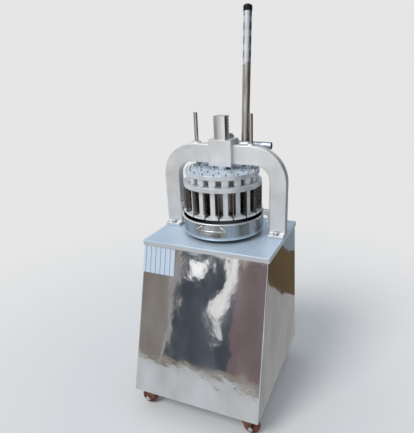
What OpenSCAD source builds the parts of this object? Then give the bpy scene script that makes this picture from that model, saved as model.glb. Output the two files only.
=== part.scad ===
// Manual dough divider on casters: a lever turns a pinion, the pinion drives a toothed column,
// and the column lowers a head with thirty six press blocks and the knives between them into a pan.
// The floor is z = 0, the front looks along -Y and the lever is on the right, at +X.

/* [Cabinet] */
// Width of the table lid, side to side
table_w = 400; // [380:5:440]
// Depth of the table lid, front to back
table_d = 308; // [290:2:330]
// Height of the table top above the floor
table_z = 541; // [500:1:600]
// Width of the cabinet at its bottom edge
base_w = 413; // [400:1:440]
// Depth of the cabinet at its bottom edge
base_d = 449; // [420:1:480]
// Height of the cabinet's bottom edge above the floor
base_z = 72; // [65:1:85]
// Thickness of the cabinet's sheet steel
sheet = 2; // [1.5:0.5:3]

/* [Arch] */
// How far the arch stands out past each side of the table
arch_over = 0.5; // [0:0.5:3]
// Width of each leg of the arch
leg_w = 51; // [40:1:60]
// Thickness of the arch's beam, top to bottom
beam_t = 56.5; // [45:0.5:65]
// Thickness of the arch, front to back
arch_t = 29; // [24:1:34]

/* [Head] */
// Room between the pan's rim and each leg of the arch
pan_room = 20.9; // [12:0.1:30]
// Height of the feet above the table with the lever up
foot_z = 73.8; // [70:0.2:80]
// Length of a block from its foot's underside to the knife plate
block_l = 79.7; // [70:0.1:90]
// Side of the square toothed column
rack_side = 36; // [32:1:40]
// Diameter of the guide rods
rod_d = 12; // [10:1:14]

/* [Lever] */
// Diameter of the lever tube
lever_d = 24; // [20:1:27]
// Height of the lever's top above the table
lever_top = 654.5; // [560:1:700]
// Angle that the lever leans back at rest
lever_lean = 4.94; // [0:0.02:10]

/* [Hidden] */
$fn = 64;
lid_skirt = 15;
lid_y = 45;
lid_back = lid_y + table_d / 2;
lid_front = lid_y - table_d / 2;
shell_gap = 3;
shell_top = table_z - sheet;
shell_h = shell_top - base_z;
top_w = table_w - 2 * shell_gap;
top_front = lid_front + 2 * shell_gap;
top_back = lid_back - shell_gap;
front_tilt = atan((top_front + base_d / 2) / shell_h);
back_tilt = atan((base_d / 2 - top_back) / shell_h);

// The pan fits between the legs, and the ring of feet fits in the pan.
arch_w = table_w + 2 * arch_over;
arch_gap = arch_w - 2 * leg_w;
pan_r = arch_gap / 2 - pan_room;
rim_w = 5.6;
pan_in = pan_r - rim_w;
foot_play = 1;
foot_r = pan_in - foot_play;
rim_z = 64.2;
floor_top = 21;
pan_lift = 0.1;

// The plates and the blocks of the head, measured up from the table.
knife_low = foot_z + block_l;
knife_high = knife_low + 14.5;
press_low = knife_high + 20;
press_high = press_low + 13;
knife_plate_r = foot_r - 2.3;
press_r = foot_r - 9;
foot_t = 6;
blade_t = 2;
cell_gap = 4;
blade_z = foot_z + 0.7;
hole_play = 0.5;
// The rings hold 6, 12 and 18 blocks, and their radii give all thirty six pieces of dough one size.
ring_a = foot_r * sqrt(6 / 36);
ring_b = foot_r * sqrt(18 / 36);
// The head stands turned a little about its axis, as the photograph shows it.
head_turn = -3.5;
// Each ring of blocks: count, radius of the posts, inner and outer radius, depth and width of a post.
core_r = 3;
rings = [
  [6, (core_r + ring_a) / 2 + 6.6, core_r, ring_a, 10, 12],
  [12, (ring_a + ring_b) / 2 + 1.4, ring_a, ring_b, 12, 13],
  [18, (ring_b + foot_r) / 2 - 2.1, ring_b, foot_r, 12, 14]
];
rod_span = 2 * (foot_r - 34);
block_bolt_r = 4;
stud_r = 4.5;

// The arch stands across the table, clear above the head, which hangs a little in front of its
// middle plane.
head_play = 7;
arch_y = lid_y + 2.5;
arch_back = arch_y + arch_t;
arch_mid = arch_y + arch_t / 2;
boss_low = press_high + head_play;
beam_z = boss_low + 6.5;
arch_h = beam_z + beam_t;
boss_high = arch_h + 16;
outer_r = 107;
inner_r = 45;
arch_foot_t = 10;
ram_y = arch_y + 3.5;
rack_y = ram_y + 2;
boss_half = rack_side / 2 + 18.2;
boss_front = rack_y - rack_side / 2 - 4.5;
slide_play = 0.3;

// The column's teeth face the rear, where the pinion turns on the shaft behind the arch.
gear_m = 3;
gear_teeth = 20;
gear_r = gear_m * gear_teeth / 2;
gear_face = 24;
tooth_pitch = PI * gear_m;
pressure = 20;
backlash = 0.25;
rack_back = rack_y + rack_side / 2;
rack_top = boss_high + 68;
shaft_y = rack_back - gear_m + gear_r;
shaft_z = arch_h - 5;
shaft_r = 8;
cheek_in = gear_face / 2 + 1;
cheek_out = cheek_in + 19;
cheek_r = 20;
cheek_low = beam_z + 11.5;
rib_half = 62;
rib_t = 22;
hub_d = 22;
lever_x = boss_half + lever_d / 2 + slide_play;
lever_set = hub_d / 2 + lever_d / 2 - 0.3;
cross_x = cheek_out + 46;
cross_r = 4;
hub_start = cheek_out + 0.5;
hub_end = cheek_out + 108;

// The casters stand under the corners of the base, and the wheels fill their forks.
caster_x = base_w / 2 - 45.5;
caster_y = base_d / 2 - 36.5;
caster_bolt_x = 20;
caster_bolt_r = 4;
fork_room = 22;
wheel_r = (base_z - fork_room) / 2;
wheel_w = 20;
trail = 15;
axle_r = 4;

steel = [0.72, 0.73, 0.75];
mirror = [0.62, 0.64, 0.68];
cast = [0.80, 0.81, 0.82];
dark = [0.20, 0.20, 0.22];
red = [0.42, 0.13, 0.10];

// A block between its low and its high corner.
module box(low, high) {
  translate(low) cube([high[0] - low[0], high[1] - low[1], high[2] - low[2]]);
}

// A cylinder along X or along Y, centred on its own length.
module rod_x(r, l) {
  rotate([0, 90, 0]) cylinder(h = l, r = r, center = true);
}

module rod_y(r, l) {
  rotate([90, 0, 0]) cylinder(h = l, r = r, center = true);
}

module hex(across, h) {
  cylinder(h = h, r = across / 2 / cos(30), $fn = 6);
}

module on_table() {
  translate([0, 0, table_z]) children();
}

// The hollow or solid tapered body of the cabinet, drawn in by the given amount.
module tapered_body(in, low, high) {
  hull() {
    translate([-base_w / 2 + in, -base_d / 2 + in, low]) cube([base_w - 2 * in, base_d - 2 * in, 0.01]);
    translate([-top_w / 2 + in, top_front + in, high - 0.01])
      cube([top_w - 2 * in, top_back - top_front - 2 * in, 0.01]);
  }
}

// The welded frame inside: a base ring with corner plates, four posts, a top ring and the arch's plate.
frame_bar = 25;
base_t = 4;
base_lift = 1;
post_low_x = base_w / 2 - 28.5;
post_low_front = -base_d / 2 + 46.5;
post_low_back = base_d / 2 - 34.5;
post_in = 19;
post_x = top_w / 2 - post_in;
ring_end = 30;
plate_half = 42;
plate_t = 12;
foot_bolt_r = 6;
foot_bolt_play = 0.5;

module caster_bolt_places() {
  for (x = [-caster_x, caster_x])
    for (y = [-caster_y, caster_y])
      for (u = [-caster_bolt_x, caster_bolt_x])
        for (v = [-caster_bolt_x, caster_bolt_x])
          translate([x + u, y + v, base_z]) children();
}

module support_frame() {
  base_in = sheet + 2;
  half = frame_bar / 2;
  color(steel) {
    difference() {
      box([-base_w / 2 + base_in, -base_d / 2 + base_in, base_z + base_lift],
          [base_w / 2 - base_in, base_d / 2 - base_in, base_z + base_lift + base_t]);
      box([-base_w / 2 + 60, -base_d / 2 + 70, base_z], [base_w / 2 - 60, base_d / 2 - 60, base_z + 6]);
      caster_bolt_places() cylinder(h = 6, r = caster_bolt_r + 0.2);
    }
    for (x = [-1, 1])
      for (ends = [[post_low_front, top_front + ring_end], [post_low_back, top_back - ring_end]])
        hull() {
          translate([x * post_low_x, ends[0], base_z + base_lift + base_t])
            cube([frame_bar, frame_bar, 0.01], center = true);
          translate([x * post_x, ends[1], shell_top - frame_bar])
            cube([frame_bar, frame_bar, 0.02], center = true);
        }
    difference() {
      box([-post_x - half, top_front + ring_end - half, shell_top - frame_bar],
          [post_x + half, top_back - ring_end + half, shell_top]);
      box([-post_x + half, top_front + ring_end + half, shell_top - frame_bar - 5],
          [post_x - half, top_back - ring_end - half, shell_top + 1]);
      foot_bolt_holes();
    }
    difference() {
      box([-post_x, arch_mid - plate_half, shell_top - plate_t],
          [post_x, arch_mid + plate_half, shell_top]);
      foot_bolt_holes();
    }
  }
}

module cabinet_shell() {
  color(mirror) difference() {
    tapered_body(0, base_z, shell_top);
    tapered_body(sheet, base_z - 0.5, shell_top + 0.5);
    on_rear() box([-panel_w / 2 + panel_lap, -12, panel_low + panel_lap],
                  [panel_w / 2 - panel_lap, 12, panel_low + panel_h - panel_lap]);
  }
}

module table_lid() {
  color(steel) on_table() difference() {
    box([-table_w / 2, lid_front, -lid_skirt], [table_w / 2, lid_back, 0]);
    box([-table_w / 2 + sheet, lid_front + sheet, -lid_skirt - 1],
        [table_w / 2 - sheet, lid_back - sheet, -sheet]);
    translate([0, 0, -table_z]) foot_bolt_holes();
  }
}

// The access panel lies flat on the sloped rear wall.
panel_w = top_w - 94;
panel_low = 60;
panel_h = shell_h - panel_low - 77;
panel_t = 1.5;
panel_lap = 15;
panel_edge = 8;

module on_rear() {
  translate([0, base_d / 2, base_z]) rotate([back_tilt, 0, 0]) children();
}

module rear_panel() {
  color(mirror) on_rear() difference() {
    box([-panel_w / 2, 0, panel_low], [panel_w / 2, panel_t, panel_low + panel_h]);
    panel_screw_places() rod_y(2.7, 10);
  }
}

module panel_screw_places() {
  for (x = [-panel_w / 2 + panel_edge, panel_w / 2 - panel_edge])
    for (z = [panel_edge, panel_h / 2, panel_h - panel_edge])
      translate([x, panel_t, panel_low + z]) children();
}

module rear_panel_screws() {
  color(steel) on_rear() panel_screw_places() {
    translate([0, 1, 0]) rod_y(4.5, 2);
    translate([0, -0.7, 0]) rod_y(2.5, 1.6);
  }
}

// The blank plate sits at the top left of the sloped front.
label_w = 105;
label_h = 82;
label_side = 0.5;
label_drop = 15;

module label_plate() {
  color([0.80, 0.86, 0.92])
    translate([0, -base_d / 2, base_z]) rotate([-front_tilt, 0, 0])
      box([-top_w / 2 + label_side, -0.8, shell_h / cos(front_tilt) - label_h - label_drop],
          [-top_w / 2 + label_side + label_w, 0, shell_h / cos(front_tilt) - label_drop]);
}

// The arch casting: legs with feet, beam, front boss for the column, and two cheeks for the shaft.
foot_out = 18;
bolt_out = 9.5;
rod_boss_r = 13;
rod_boss_h = 6;

module arch_bolt_places() {
  for (x = [-1, 1])
    for (y = [arch_y - bolt_out, arch_back + bolt_out])
      translate([x * (arch_gap / 2 + leg_w / 2), y, table_z]) children();
}

module foot_bolt_holes() {
  arch_bolt_places() translate([0, 0, -sheet - frame_bar - 15])
    cylinder(h = sheet + frame_bar + 35, r = foot_bolt_r + foot_bolt_play);
}

module arch_outline(half, top, r, low, y0, y1) {
  box([-half + r, y0, low], [half - r, y1, top]);
  box([-half, y0, low], [half, y1, top - r]);
  for (x = [-1, 1])
    translate([x * (half - r), (y0 + y1) / 2, top - r]) rod_y(r, y1 - y0);
}

module arch_casting() {
  color(cast) on_table() difference() {
    union() {
      difference() {
        arch_outline(arch_w / 2, arch_h, outer_r, 0, arch_y, arch_back);
        arch_outline(arch_gap / 2, beam_z, inner_r, -1, arch_y - 1, arch_back + 1);
      }
      for (x = [-arch_w / 2, arch_gap / 2])
        box([x, arch_y - foot_out, 0], [x + leg_w, arch_back + foot_out, arch_foot_t]);
      for (x = [-1, 1])
        translate([x * rod_span / 2, arch_mid, arch_h - rod_boss_h])
          cylinder(h = 2 * rod_boss_h, r = rod_boss_r);
      box([-boss_half, boss_front, boss_low], [boss_half, arch_back, boss_high]);
      box([-rib_half, arch_back, boss_low], [rib_half, arch_back + rib_t, cheek_low]);
      box([-cheek_out, arch_back, cheek_low], [cheek_out, shaft_y, shaft_z + cheek_r]);
      translate([0, shaft_y, shaft_z]) rod_x(cheek_r, 2 * cheek_out);
    }
    box([-rack_side / 2 - slide_play, rack_y - rack_side / 2 - slide_play, boss_low - 1],
        [rack_side / 2 + slide_play, rack_back + slide_play, boss_high + 1]);
    box([-cheek_in, rack_back, shaft_z - tip_r - 2], [cheek_in, shaft_y + cheek_r + 10, boss_high + 1]);
    translate([0, shaft_y, shaft_z]) rod_x(shaft_r + 0.05, 3 * cheek_out);
    for (x = [-1, 1])
      translate([x * rod_span / 2, arch_mid, beam_z - 10])
        cylinder(h = beam_t + rod_boss_h + 20, r = rod_d / 2 + slide_play);
    translate([0, 0, -table_z]) foot_bolt_holes();
    for (x = [-1, 1])
      translate([x * arch_gap / 2, lug_y, lug_screw_z]) rod_x(lug_screw_r + 0.05, 24);
  }
}

module arch_foot_bolts() {
  reach = sheet + frame_bar + 14;
  color(steel) arch_bolt_places() {
    translate([0, 0, arch_foot_t]) hex(2 * foot_bolt_r + 4, 7);
    translate([0, 0, -reach]) cylinder(h = reach + arch_foot_t + 0.2, r = foot_bolt_r);
  }
}

foot_nut_h = 10;

module arch_foot_nuts() {
  color(steel) arch_bolt_places()
    translate([0, 0, -sheet - frame_bar - foot_nut_h]) difference() {
      hex(2 * foot_bolt_r + 6, foot_nut_h);
      translate([0, 0, -1]) cylinder(h = foot_nut_h + 2, r = foot_bolt_r);
    }
}

// Two lugs reach in from the legs over the rim and hold the pan down.
lug_in = pan_r - 4.1;
lug_low = rim_z + 0.5;
lug_w = 16;
lug_h = 15;
lug_t = 5;
lug_drop = 36.7;
lug_y = arch_y + lug_w / 2 + 1;
lug_screw_z = lug_low - 22.7;
lug_screw_r = 3;

module pan_lugs() {
  color(cast) on_table() for (x = [-1, 1])
    difference() {
      union() {
        translate([x * (lug_in + arch_gap / 2) / 2, lug_y, lug_low + lug_h / 2])
          cube([arch_gap / 2 - lug_in, lug_w, lug_h], center = true);
        translate([x * (arch_gap - lug_t) / 2, lug_y, lug_low - lug_drop + 20])
          cube([lug_t, lug_w, 40], center = true);
      }
      translate([x * arch_gap / 2, lug_y, lug_screw_z]) rod_x(lug_screw_r + 0.3, 30);
    }
}

module pan_lug_screws() {
  color(steel) on_table() for (x = [-1, 1]) {
    translate([x * (arch_gap / 2 - lug_t - 2), lug_y, lug_screw_z]) rod_x(lug_screw_r + 2.5, 4);
    translate([x * (arch_gap / 2 + 2), lug_y, lug_screw_z]) rod_x(lug_screw_r, 14.2);
  }
}

// One flank of an involute tooth, from its own base circle out to the tip.
base_r = gear_r * cos(pressure);
tip_r = gear_r + gear_m;
root_r = gear_r - 1.25 * gear_m;
flank_steps = 5;

function inv_angle(r) = r <= base_r ? 0 : (tan(acos(base_r / r)) * 180 / PI - acos(base_r / r));
function flank_r(i) = max(root_r, base_r) + (tip_r - max(root_r, base_r)) * i / flank_steps;
function half_tooth(r) = 90 / gear_teeth - (backlash / gear_r) * 90 / PI + inv_angle(gear_r) - inv_angle(r);

module gear_tooth() {
  polygon(concat(
    [[root_r - 2, -sin(half_tooth(base_r)) * (root_r - 2)]],
    [for (i = [0 : flank_steps]) flank_r(i) * [cos(half_tooth(flank_r(i))), -sin(half_tooth(flank_r(i)))]],
    [for (i = [flank_steps : -1 : 0]) flank_r(i) * [cos(half_tooth(flank_r(i))), sin(half_tooth(flank_r(i)))]],
    [[root_r - 2, sin(half_tooth(base_r)) * (root_r - 2)]]
  ));
}

key_side = 5;

module pinion() {
  color(steel) on_table() translate([0, shaft_y, shaft_z]) difference() {
    union() {
      rod_x(root_r, gear_face);
      for (k = [0 : gear_teeth - 1])
        rotate([(k + 0.5) * 360 / gear_teeth, 0, 0]) rotate([0, 90, 0])
          linear_extrude(height = gear_face, center = true) gear_tooth();
    }
    rod_x(shaft_r, gear_face + 2);
    translate([0, 0, shaft_r]) cube([gear_face + 2, key_side, key_side], center = true);
  }
}

module pinion_key() {
  color(steel) on_table() translate([0, shaft_y, shaft_z + shaft_r])
    cube([gear_face - 4, key_side, key_side], center = true);
}

// The shaft reaches from just past the collar on the left into the hub tube on the right.
collar_w = 10;
hub_recess = 20;
shaft_left = -cheek_out - collar_w - 2;
shaft_right = hub_end - hub_recess;

module pinion_shaft() {
  color(steel) on_table() translate([0, shaft_y, shaft_z]) difference() {
    translate([(shaft_left + shaft_right) / 2, 0, 0]) rod_x(shaft_r, shaft_right - shaft_left);
    translate([0, 0, shaft_r]) cube([gear_face - 4, key_side, key_side], center = true);
    translate([cross_x, 0, 0]) rod_y(cross_r, 2 * hub_d);
  }
}

module shaft_collar() {
  color(steel) on_table() translate([-cheek_out - 0.5 - collar_w / 2, shaft_y, shaft_z]) difference() {
    rod_x(shaft_r + 7, collar_w);
    rod_x(shaft_r, collar_w + 2);
    translate([0, 0, shaft_r]) cylinder(h = 20, r = 3);
  }
}

module shaft_collar_screw() {
  color(dark) on_table() translate([-cheek_out - 0.5 - collar_w / 2, shaft_y, shaft_z + shaft_r])
    cylinder(h = 9, r = 3);
}

// The hub is an open tube on the shaft. The lever is welded on behind it, to swing over the arch and
// past the boss.
module lever_hub() {
  color(steel) on_table() translate([0, shaft_y, shaft_z]) difference() {
    translate([(hub_start + hub_end) / 2, 0, 0]) rod_x(hub_d / 2, hub_end - hub_start);
    translate([(hub_start + hub_end) / 2, 0, 0]) rod_x(shaft_r, hub_end - hub_start + 2);
    translate([cross_x, 0, 0]) rod_y(cross_r, 2 * hub_d);
  }
}

module lever_hub_bolt() {
  color(steel) on_table() translate([cross_x, shaft_y, shaft_z]) {
    rod_y(cross_r, hub_d);
    for (y = [-hub_d / 2, hub_d / 2 + 5])
      translate([0, y, 0]) rotate([90, 0, 0]) hex(13, 5);
  }
}

// The lever leans back, so its length is measured along its own axis from beside the hub.
lever_low = -18;
lever_len = (lever_top - shaft_z) / cos(lever_lean);
lever_wall = 2.5;
cap_len = 19;
cap_wall = 1;
cap_dome = 5.5;
dome_r = 18.5;

module on_lever() {
  on_table() translate([lever_x, shaft_y, shaft_z]) rotate([-lever_lean, 0, 0])
    translate([0, lever_set, 0]) children();
}

module lever_tube() {
  color([0.55, 0.52, 0.48]) on_lever() difference() {
    translate([0, 0, lever_low]) cylinder(h = lever_len - 6 - lever_low, r = lever_d / 2);
    translate([0, 0, lever_low - 1]) cylinder(h = lever_len - lever_low, r = lever_d / 2 - lever_wall);
  }
}

module lever_cap() {
  color(dark) on_lever() translate([0, 0, lever_len - cap_len]) difference() {
    union() {
      cylinder(h = cap_len - cap_dome, r = lever_d / 2 + cap_wall);
      translate([0, 0, cap_len - cap_dome]) intersection() {
        translate([0, 0, cap_dome - dome_r]) sphere(r = dome_r);
        cylinder(h = cap_dome, r = lever_d / 2 + cap_wall);
      }
    }
    translate([0, 0, -1]) cylinder(h = cap_len - 5, r = lever_d / 2);
  }
}

// The square column: each gap between its teeth is a straight-sided trapezium.
rack_low = knife_high;
first_gap = -3;
last_gap = 8;
rack_bolt_r = 6;
rack_bolt_head = 8;
rack_bolt_l = 28;

module rack_gap() {
  half_tip = tooth_pitch / 4 + gear_m * tan(pressure) + backlash / 2;
  half_root = tooth_pitch / 4 - 1.25 * gear_m * tan(pressure) + backlash / 2;
  polygon([[-half_root, 0], [half_root, 0],
           [half_tip + 0.4, 2.25 * gear_m + 1], [-half_tip - 0.4, 2.25 * gear_m + 1]]);
}

module rack_column() {
  color(steel) on_table() difference() {
    box([-rack_side / 2, rack_y - rack_side / 2, rack_low], [rack_side / 2, rack_back, rack_top]);
    for (k = [first_gap : last_gap])
      translate([0, rack_back - 2.25 * gear_m, shaft_z + (k + 0.5) * tooth_pitch])
        rotate([90, 0, 90]) rotate([0, 0, 90]) mirror([0, 1, 0])
          linear_extrude(height = rack_side + 2, center = true) rack_gap();
    translate([0, rack_y, rack_low - 1]) cylinder(h = rack_bolt_l + 3, r = rack_bolt_r);
  }
}

module rack_bolt() {
  color(steel) on_table() translate([0, rack_y, 0]) {
    translate([0, 0, knife_low - rack_bolt_head]) hex(2 * rack_bolt_r + 7, rack_bolt_head);
    translate([0, 0, knife_low - 0.1]) cylinder(h = knife_high - knife_low + rack_bolt_l, r = rack_bolt_r);
  }
}

// Every block stands in the middle of its own cell of the three rings.
module post_places(ring) {
  n = ring[0];
  for (k = [0 : n - 1])
    rotate([0, 0, -90 + head_turn + (k + 0.5) * 360 / n]) translate([ring[1], 0, 0]) children();
}

module on_ram() {
  on_table() translate([0, ram_y, 0]) children();
}

module knife_plate() {
  color(cast) on_ram() difference() {
    translate([0, 0, knife_low]) cylinder(h = knife_high - knife_low, r = knife_plate_r, $fn = 96);
    for (ring = rings)
      post_places(ring)
        box([-ring[4] / 2 - hole_play, -ring[5] / 2 - hole_play, knife_low - 1],
            [ring[4] / 2 + hole_play, ring[5] / 2 + hole_play, knife_high + 1]);
    translate([0, rack_y - ram_y, knife_low - 1]) cylinder(h = 30, r = rack_bolt_r + slide_play);
  }
}

module radial_knives(n, r_in, r_out) {
  for (k = [0 : n - 1])
    rotate([0, 0, -90 + head_turn + k * 360 / n])
      box([r_in, -blade_t / 2, blade_z], [r_out, blade_t / 2, knife_low]);
}

module outer_radial_knives() {
  color(steel) on_ram() radial_knives(18, ring_b + blade_t / 2, foot_r - 0.7);
}

module middle_radial_knives() {
  color(steel) on_ram() radial_knives(12, ring_a + blade_t / 2, ring_b - blade_t / 2);
}

module inner_radial_knives() {
  color(steel) on_ram() difference() {
    union() {
      for (k = [0 : 2])
        rotate([0, 0, 90 + head_turn + 60 * k])
          box([-ring_a + blade_t / 2, -blade_t / 2, blade_z], [ring_a - blade_t / 2, blade_t / 2, knife_low]);
      translate([0, 0, blade_z]) cylinder(h = knife_low - blade_z, r = core_r, $fn = 24);
    }
    translate([0, rack_y - ram_y, knife_low - rack_bolt_head - 0.5])
      cylinder(h = rack_bolt_head + 2, r = rack_bolt_r + 5.6);
  }
}

module ring_knife(r) {
  difference() {
    translate([0, 0, blade_z]) cylinder(h = knife_low - blade_z, r = r + blade_t / 2, $fn = 96);
    translate([0, 0, blade_z - 1]) cylinder(h = knife_low - blade_z + 2, r = r - blade_t / 2, $fn = 96);
  }
}

module large_ring_knife() {
  color(steel) on_ram() ring_knife(ring_b);
}

module small_ring_knife() {
  color(steel) on_ram() ring_knife(ring_a);
}

// A block is a sector-shaped foot with a flared post up to the press plate.
module foot(n, r_in, r_out) {
  in = r_in > 5 ? r_in + cell_gap / 2 : r_in;
  out = r_out < foot_r ? r_out - cell_gap / 2 : r_out;
  half = 180 / n;
  difference() {
    cylinder(h = foot_t, r = out, $fn = 96);
    translate([0, 0, -1]) cylinder(h = foot_t + 2, r = in, $fn = 96);
    for (s = [-1, 1])
      rotate([0, 0, s * half])
        translate([-out - 2, s > 0 ? -cell_gap / 2 : -2 * out + cell_gap / 2, -1])
          cube([2 * out + 4, 2 * out, foot_t + 2]);
    if (n > 2) translate([-2 * out, -2 * out, -1]) cube([2 * out, 4 * out, foot_t + 2]);
  }
}

shoulder = 3;
flare = 7.5;
flare_h = 5;

module press_blocks(ring) {
  n = ring[0];
  for (k = [0 : n - 1])
    rotate([0, 0, -90 + head_turn + (k + 0.5) * 360 / n]) union() {
      translate([0, 0, foot_z]) foot(n, ring[2], ring[3]);
      translate([ring[1], 0, 0]) {
        box([-ring[4] / 2, -ring[5] / 2, foot_z + foot_t - 1], [ring[4] / 2, ring[5] / 2, press_low]);
        box([-ring[4] / 2, -ring[5] / 2 - shoulder, knife_high + 0.5],
            [ring[4] / 2, ring[5] / 2 + shoulder, press_low]);
        translate([0, 0, foot_z + foot_t - 0.5]) rotate([90, 0, 90])
          linear_extrude(height = ring[4], center = true)
            polygon([[-ring[5] / 2 - flare, 0], [ring[5] / 2 + flare, 0],
                     [ring[5] / 2, flare_h], [-ring[5] / 2, flare_h]]);
      }
    }
}

module outer_press_blocks() {
  color(cast) on_ram() press_blocks(rings[2]);
}

module middle_press_blocks() {
  color(cast) on_ram() press_blocks(rings[1]);
}

module inner_press_blocks() {
  color(cast) on_ram() press_blocks(rings[0]);
}

module block_bolts() {
  color(steel) on_ram() for (ring = rings)
    post_places(ring) translate([0, 0, press_high]) {
      cylinder(h = 4.5, r = block_bolt_r + 2, $fn = 6);
      translate([0, 0, press_low - press_high])
        cylinder(h = press_high - press_low + 0.1, r = block_bolt_r, $fn = 24);
    }
}

module press_plate() {
  color(cast) on_ram() difference() {
    translate([0, 0, press_low]) cylinder(h = press_high - press_low, r = press_r, $fn = 96);
    for (ring = rings)
      post_places(ring) translate([0, 0, press_low - 1]) cylinder(h = 20, r = block_bolt_r, $fn = 24);
    translate([0, rack_y - ram_y, press_low + 5]) cube([rack_side + 1, rack_side + 1, 30], center = true);
    for (x = [-1, 1])
      translate([x * rod_span / 2, arch_mid - ram_y, press_low - 1]) cylinder(h = 20, r = stud_r);
  }
}

rod_rise = 90.7;
rod_top = arch_h + rod_rise;
rod_nut_h = 8;

module guide_rods() {
  color(steel) on_table() for (x = [-1, 1])
    translate([x * rod_span / 2, arch_mid, 0]) {
      translate([0, 0, press_high]) cylinder(h = rod_top - press_high, r = rod_d / 2);
      translate([0, 0, press_low - rod_nut_h - 4])
        cylinder(h = press_high - press_low + rod_nut_h + 4.2, r = stud_r);
    }
}

module guide_rod_nuts() {
  color(steel) on_table() for (x = [-1, 1])
    translate([x * rod_span / 2, arch_mid, press_low - rod_nut_h]) difference() {
      rotate([0, 0, 30]) hex(2 * stud_r + 5, rod_nut_h);
      translate([0, 0, -1]) cylinder(h = rod_nut_h + 2, r = stud_r);
    }
}

// The pan is turned: a rounded rim, a straight wall, a lower edge drawn in, and a foot ring further in.
pan_wall_r = pan_in + 2.5;
floor_t = 3;
edge_z = 9;
edge_in = 4;
edge_t = 6;
ring_r = pan_in - 27;
ring_t = 3;

module dough_pan() {
  floor_low = floor_top - floor_t;
  color(steel) on_table() translate([0, ram_y, pan_lift]) rotate_extrude($fn = 128)
    polygon([
      [0, floor_low], [ring_r - ring_t, floor_low], [ring_r - ring_t, 0], [ring_r, 0], [ring_r, floor_low],
      [pan_in - edge_t, floor_low], [pan_in - edge_t, edge_z], [pan_in - edge_in, edge_z],
      [pan_in - 1, edge_z + 1.4], [pan_in + 1.4, edge_z + 3.6], [pan_wall_r, edge_z + 7],
      [pan_wall_r, rim_z - 5.2], [pan_r - 0.6, rim_z - 4.2],
      [pan_r, rim_z - 2.7], [pan_r, rim_z - 1.2], [pan_r - 0.8, rim_z], [pan_in, rim_z],
      [pan_in, floor_top + 4], [pan_in - 1.3, floor_top + 1.2], [pan_in - 4, floor_top], [0, floor_top]
    ]);
}

// The loop handle on the front of the pan, as one bent rod: two arms that spread outwards and down,
// and a bar between them that follows the wall. The pan lies turned, so the handle points a little right.
handle_turn = 6.5;
handle_root = 27;
handle_half = 46;
handle_out = 13;
handle_z = rim_z - 8.2;
handle_drop = 10;
handle_r = 3;
bar_steps = 4;

module handle_bar(from, to) {
  hull() {
    translate(from) sphere(r = handle_r, $fn = 20);
    translate(to) sphere(r = handle_r, $fn = 20);
  }
}

module pan_handle() {
  root_r = pan_wall_r + handle_r - 0.2;
  bar_r = pan_wall_r + handle_out;
  root_a = asin(handle_root / root_r);
  bar_a = asin(handle_half / bar_r);
  points = concat(
    [[-root_r * sin(root_a), -root_r * cos(root_a), handle_z]],
    [for (i = [0 : bar_steps])
      bar_r * [sin(bar_a * (2 * i / bar_steps - 1)), -cos(bar_a * (2 * i / bar_steps - 1)), 0]
        + [0, 0, handle_z - handle_drop]],
    [[root_r * sin(root_a), -root_r * cos(root_a), handle_z]]
  );
  color(steel) on_table() translate([0, ram_y, 0]) rotate([0, 0, handle_turn])
    for (i = [0 : bar_steps + 1]) handle_bar(points[i], points[i + 1]);
}

// Casters: a bolted top plate, a swivelling fork, a wheel and its axle bolt.
// The front wheels trail outwards and the rear ones inwards.
module caster_place(sx, sy) {
  translate([sx * caster_x, sy * caster_y, 0]) children();
}

function trail_side(sx, sy) = sy < 0 ? sx : -sx;
plate_w = 56;
race_r = 17;
fork_t = 3;

module caster_plates() {
  color(steel) difference() {
    for (sx = [-1, 1])
      for (sy = [-1, 1])
        caster_place(sx, sy) difference() {
          union() {
            translate([0, 0, base_z - 0.5]) cube([plate_w, plate_w, 3], center = true);
            translate([0, 0, base_z - 8]) cylinder(h = 6.2, r = race_r);
          }
          translate([0, 0, base_z - 9]) cylinder(h = 20, r = 5.1);
        }
    caster_bolt_places() translate([0, 0, -4]) cylinder(h = 10, r = caster_bolt_r + 0.2);
  }
}

module caster_bolts() {
  color(steel) caster_bolt_places() {
    translate([0, 0, -7]) hex(2 * caster_bolt_r + 5, 5);
    translate([0, 0, -2.1]) cylinder(h = base_lift + base_t + 2.1, r = caster_bolt_r);
  }
}

module caster_fork() {
  cheek_y = wheel_w / 2 + 2 + fork_t / 2;
  crown_z = base_z - 14;
  color(steel) {
    translate([0, 0, crown_z]) cylinder(h = 5.7, r = race_r);
    translate([0, 0, base_z - 9]) cylinder(h = 9, r = 5);
    for (s = [-1, 1])
      difference() {
        union() {
          translate([-17, s * cheek_y - fork_t / 2, crown_z - 22]) cube([34, fork_t, 22]);
          hull() {
            translate([0, s * cheek_y, crown_z - 14]) cube([30, fork_t, 16], center = true);
            translate([-trail, s * cheek_y, wheel_r]) rod_y(axle_r + 4, fork_t);
          }
        }
        translate([-trail, s * cheek_y, wheel_r]) rod_y(axle_r, 10);
      }
    translate([-17, -cheek_y - fork_t / 2, crown_z]) cube([34, 2 * cheek_y + fork_t, fork_t]);
  }
}

module caster_fork_fl() { caster_place(-1, -1) caster_fork(); }
module caster_fork_fr() { caster_place(1, -1) mirror([1, 0, 0]) caster_fork(); }
module caster_fork_rl() { caster_place(-1, 1) mirror([1, 0, 0]) caster_fork(); }
module caster_fork_rr() { caster_place(1, 1) caster_fork(); }

module wheel(sx, sy) {
  color(red) caster_place(sx, sy) translate([trail_side(sx, sy) * trail, 0, wheel_r]) difference() {
    union() {
      rod_y(wheel_r - 1, wheel_w);
      rod_y(wheel_r, wheel_w - 6);
      rod_y(axle_r + 5, wheel_w + 3);
    }
    rod_y(axle_r + 0.05, 2 * wheel_w);
  }
}

module caster_wheel_fl() { wheel(-1, -1); }
module caster_wheel_fr() { wheel(1, -1); }
module caster_wheel_rl() { wheel(-1, 1); }
module caster_wheel_rr() { wheel(1, 1); }

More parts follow.
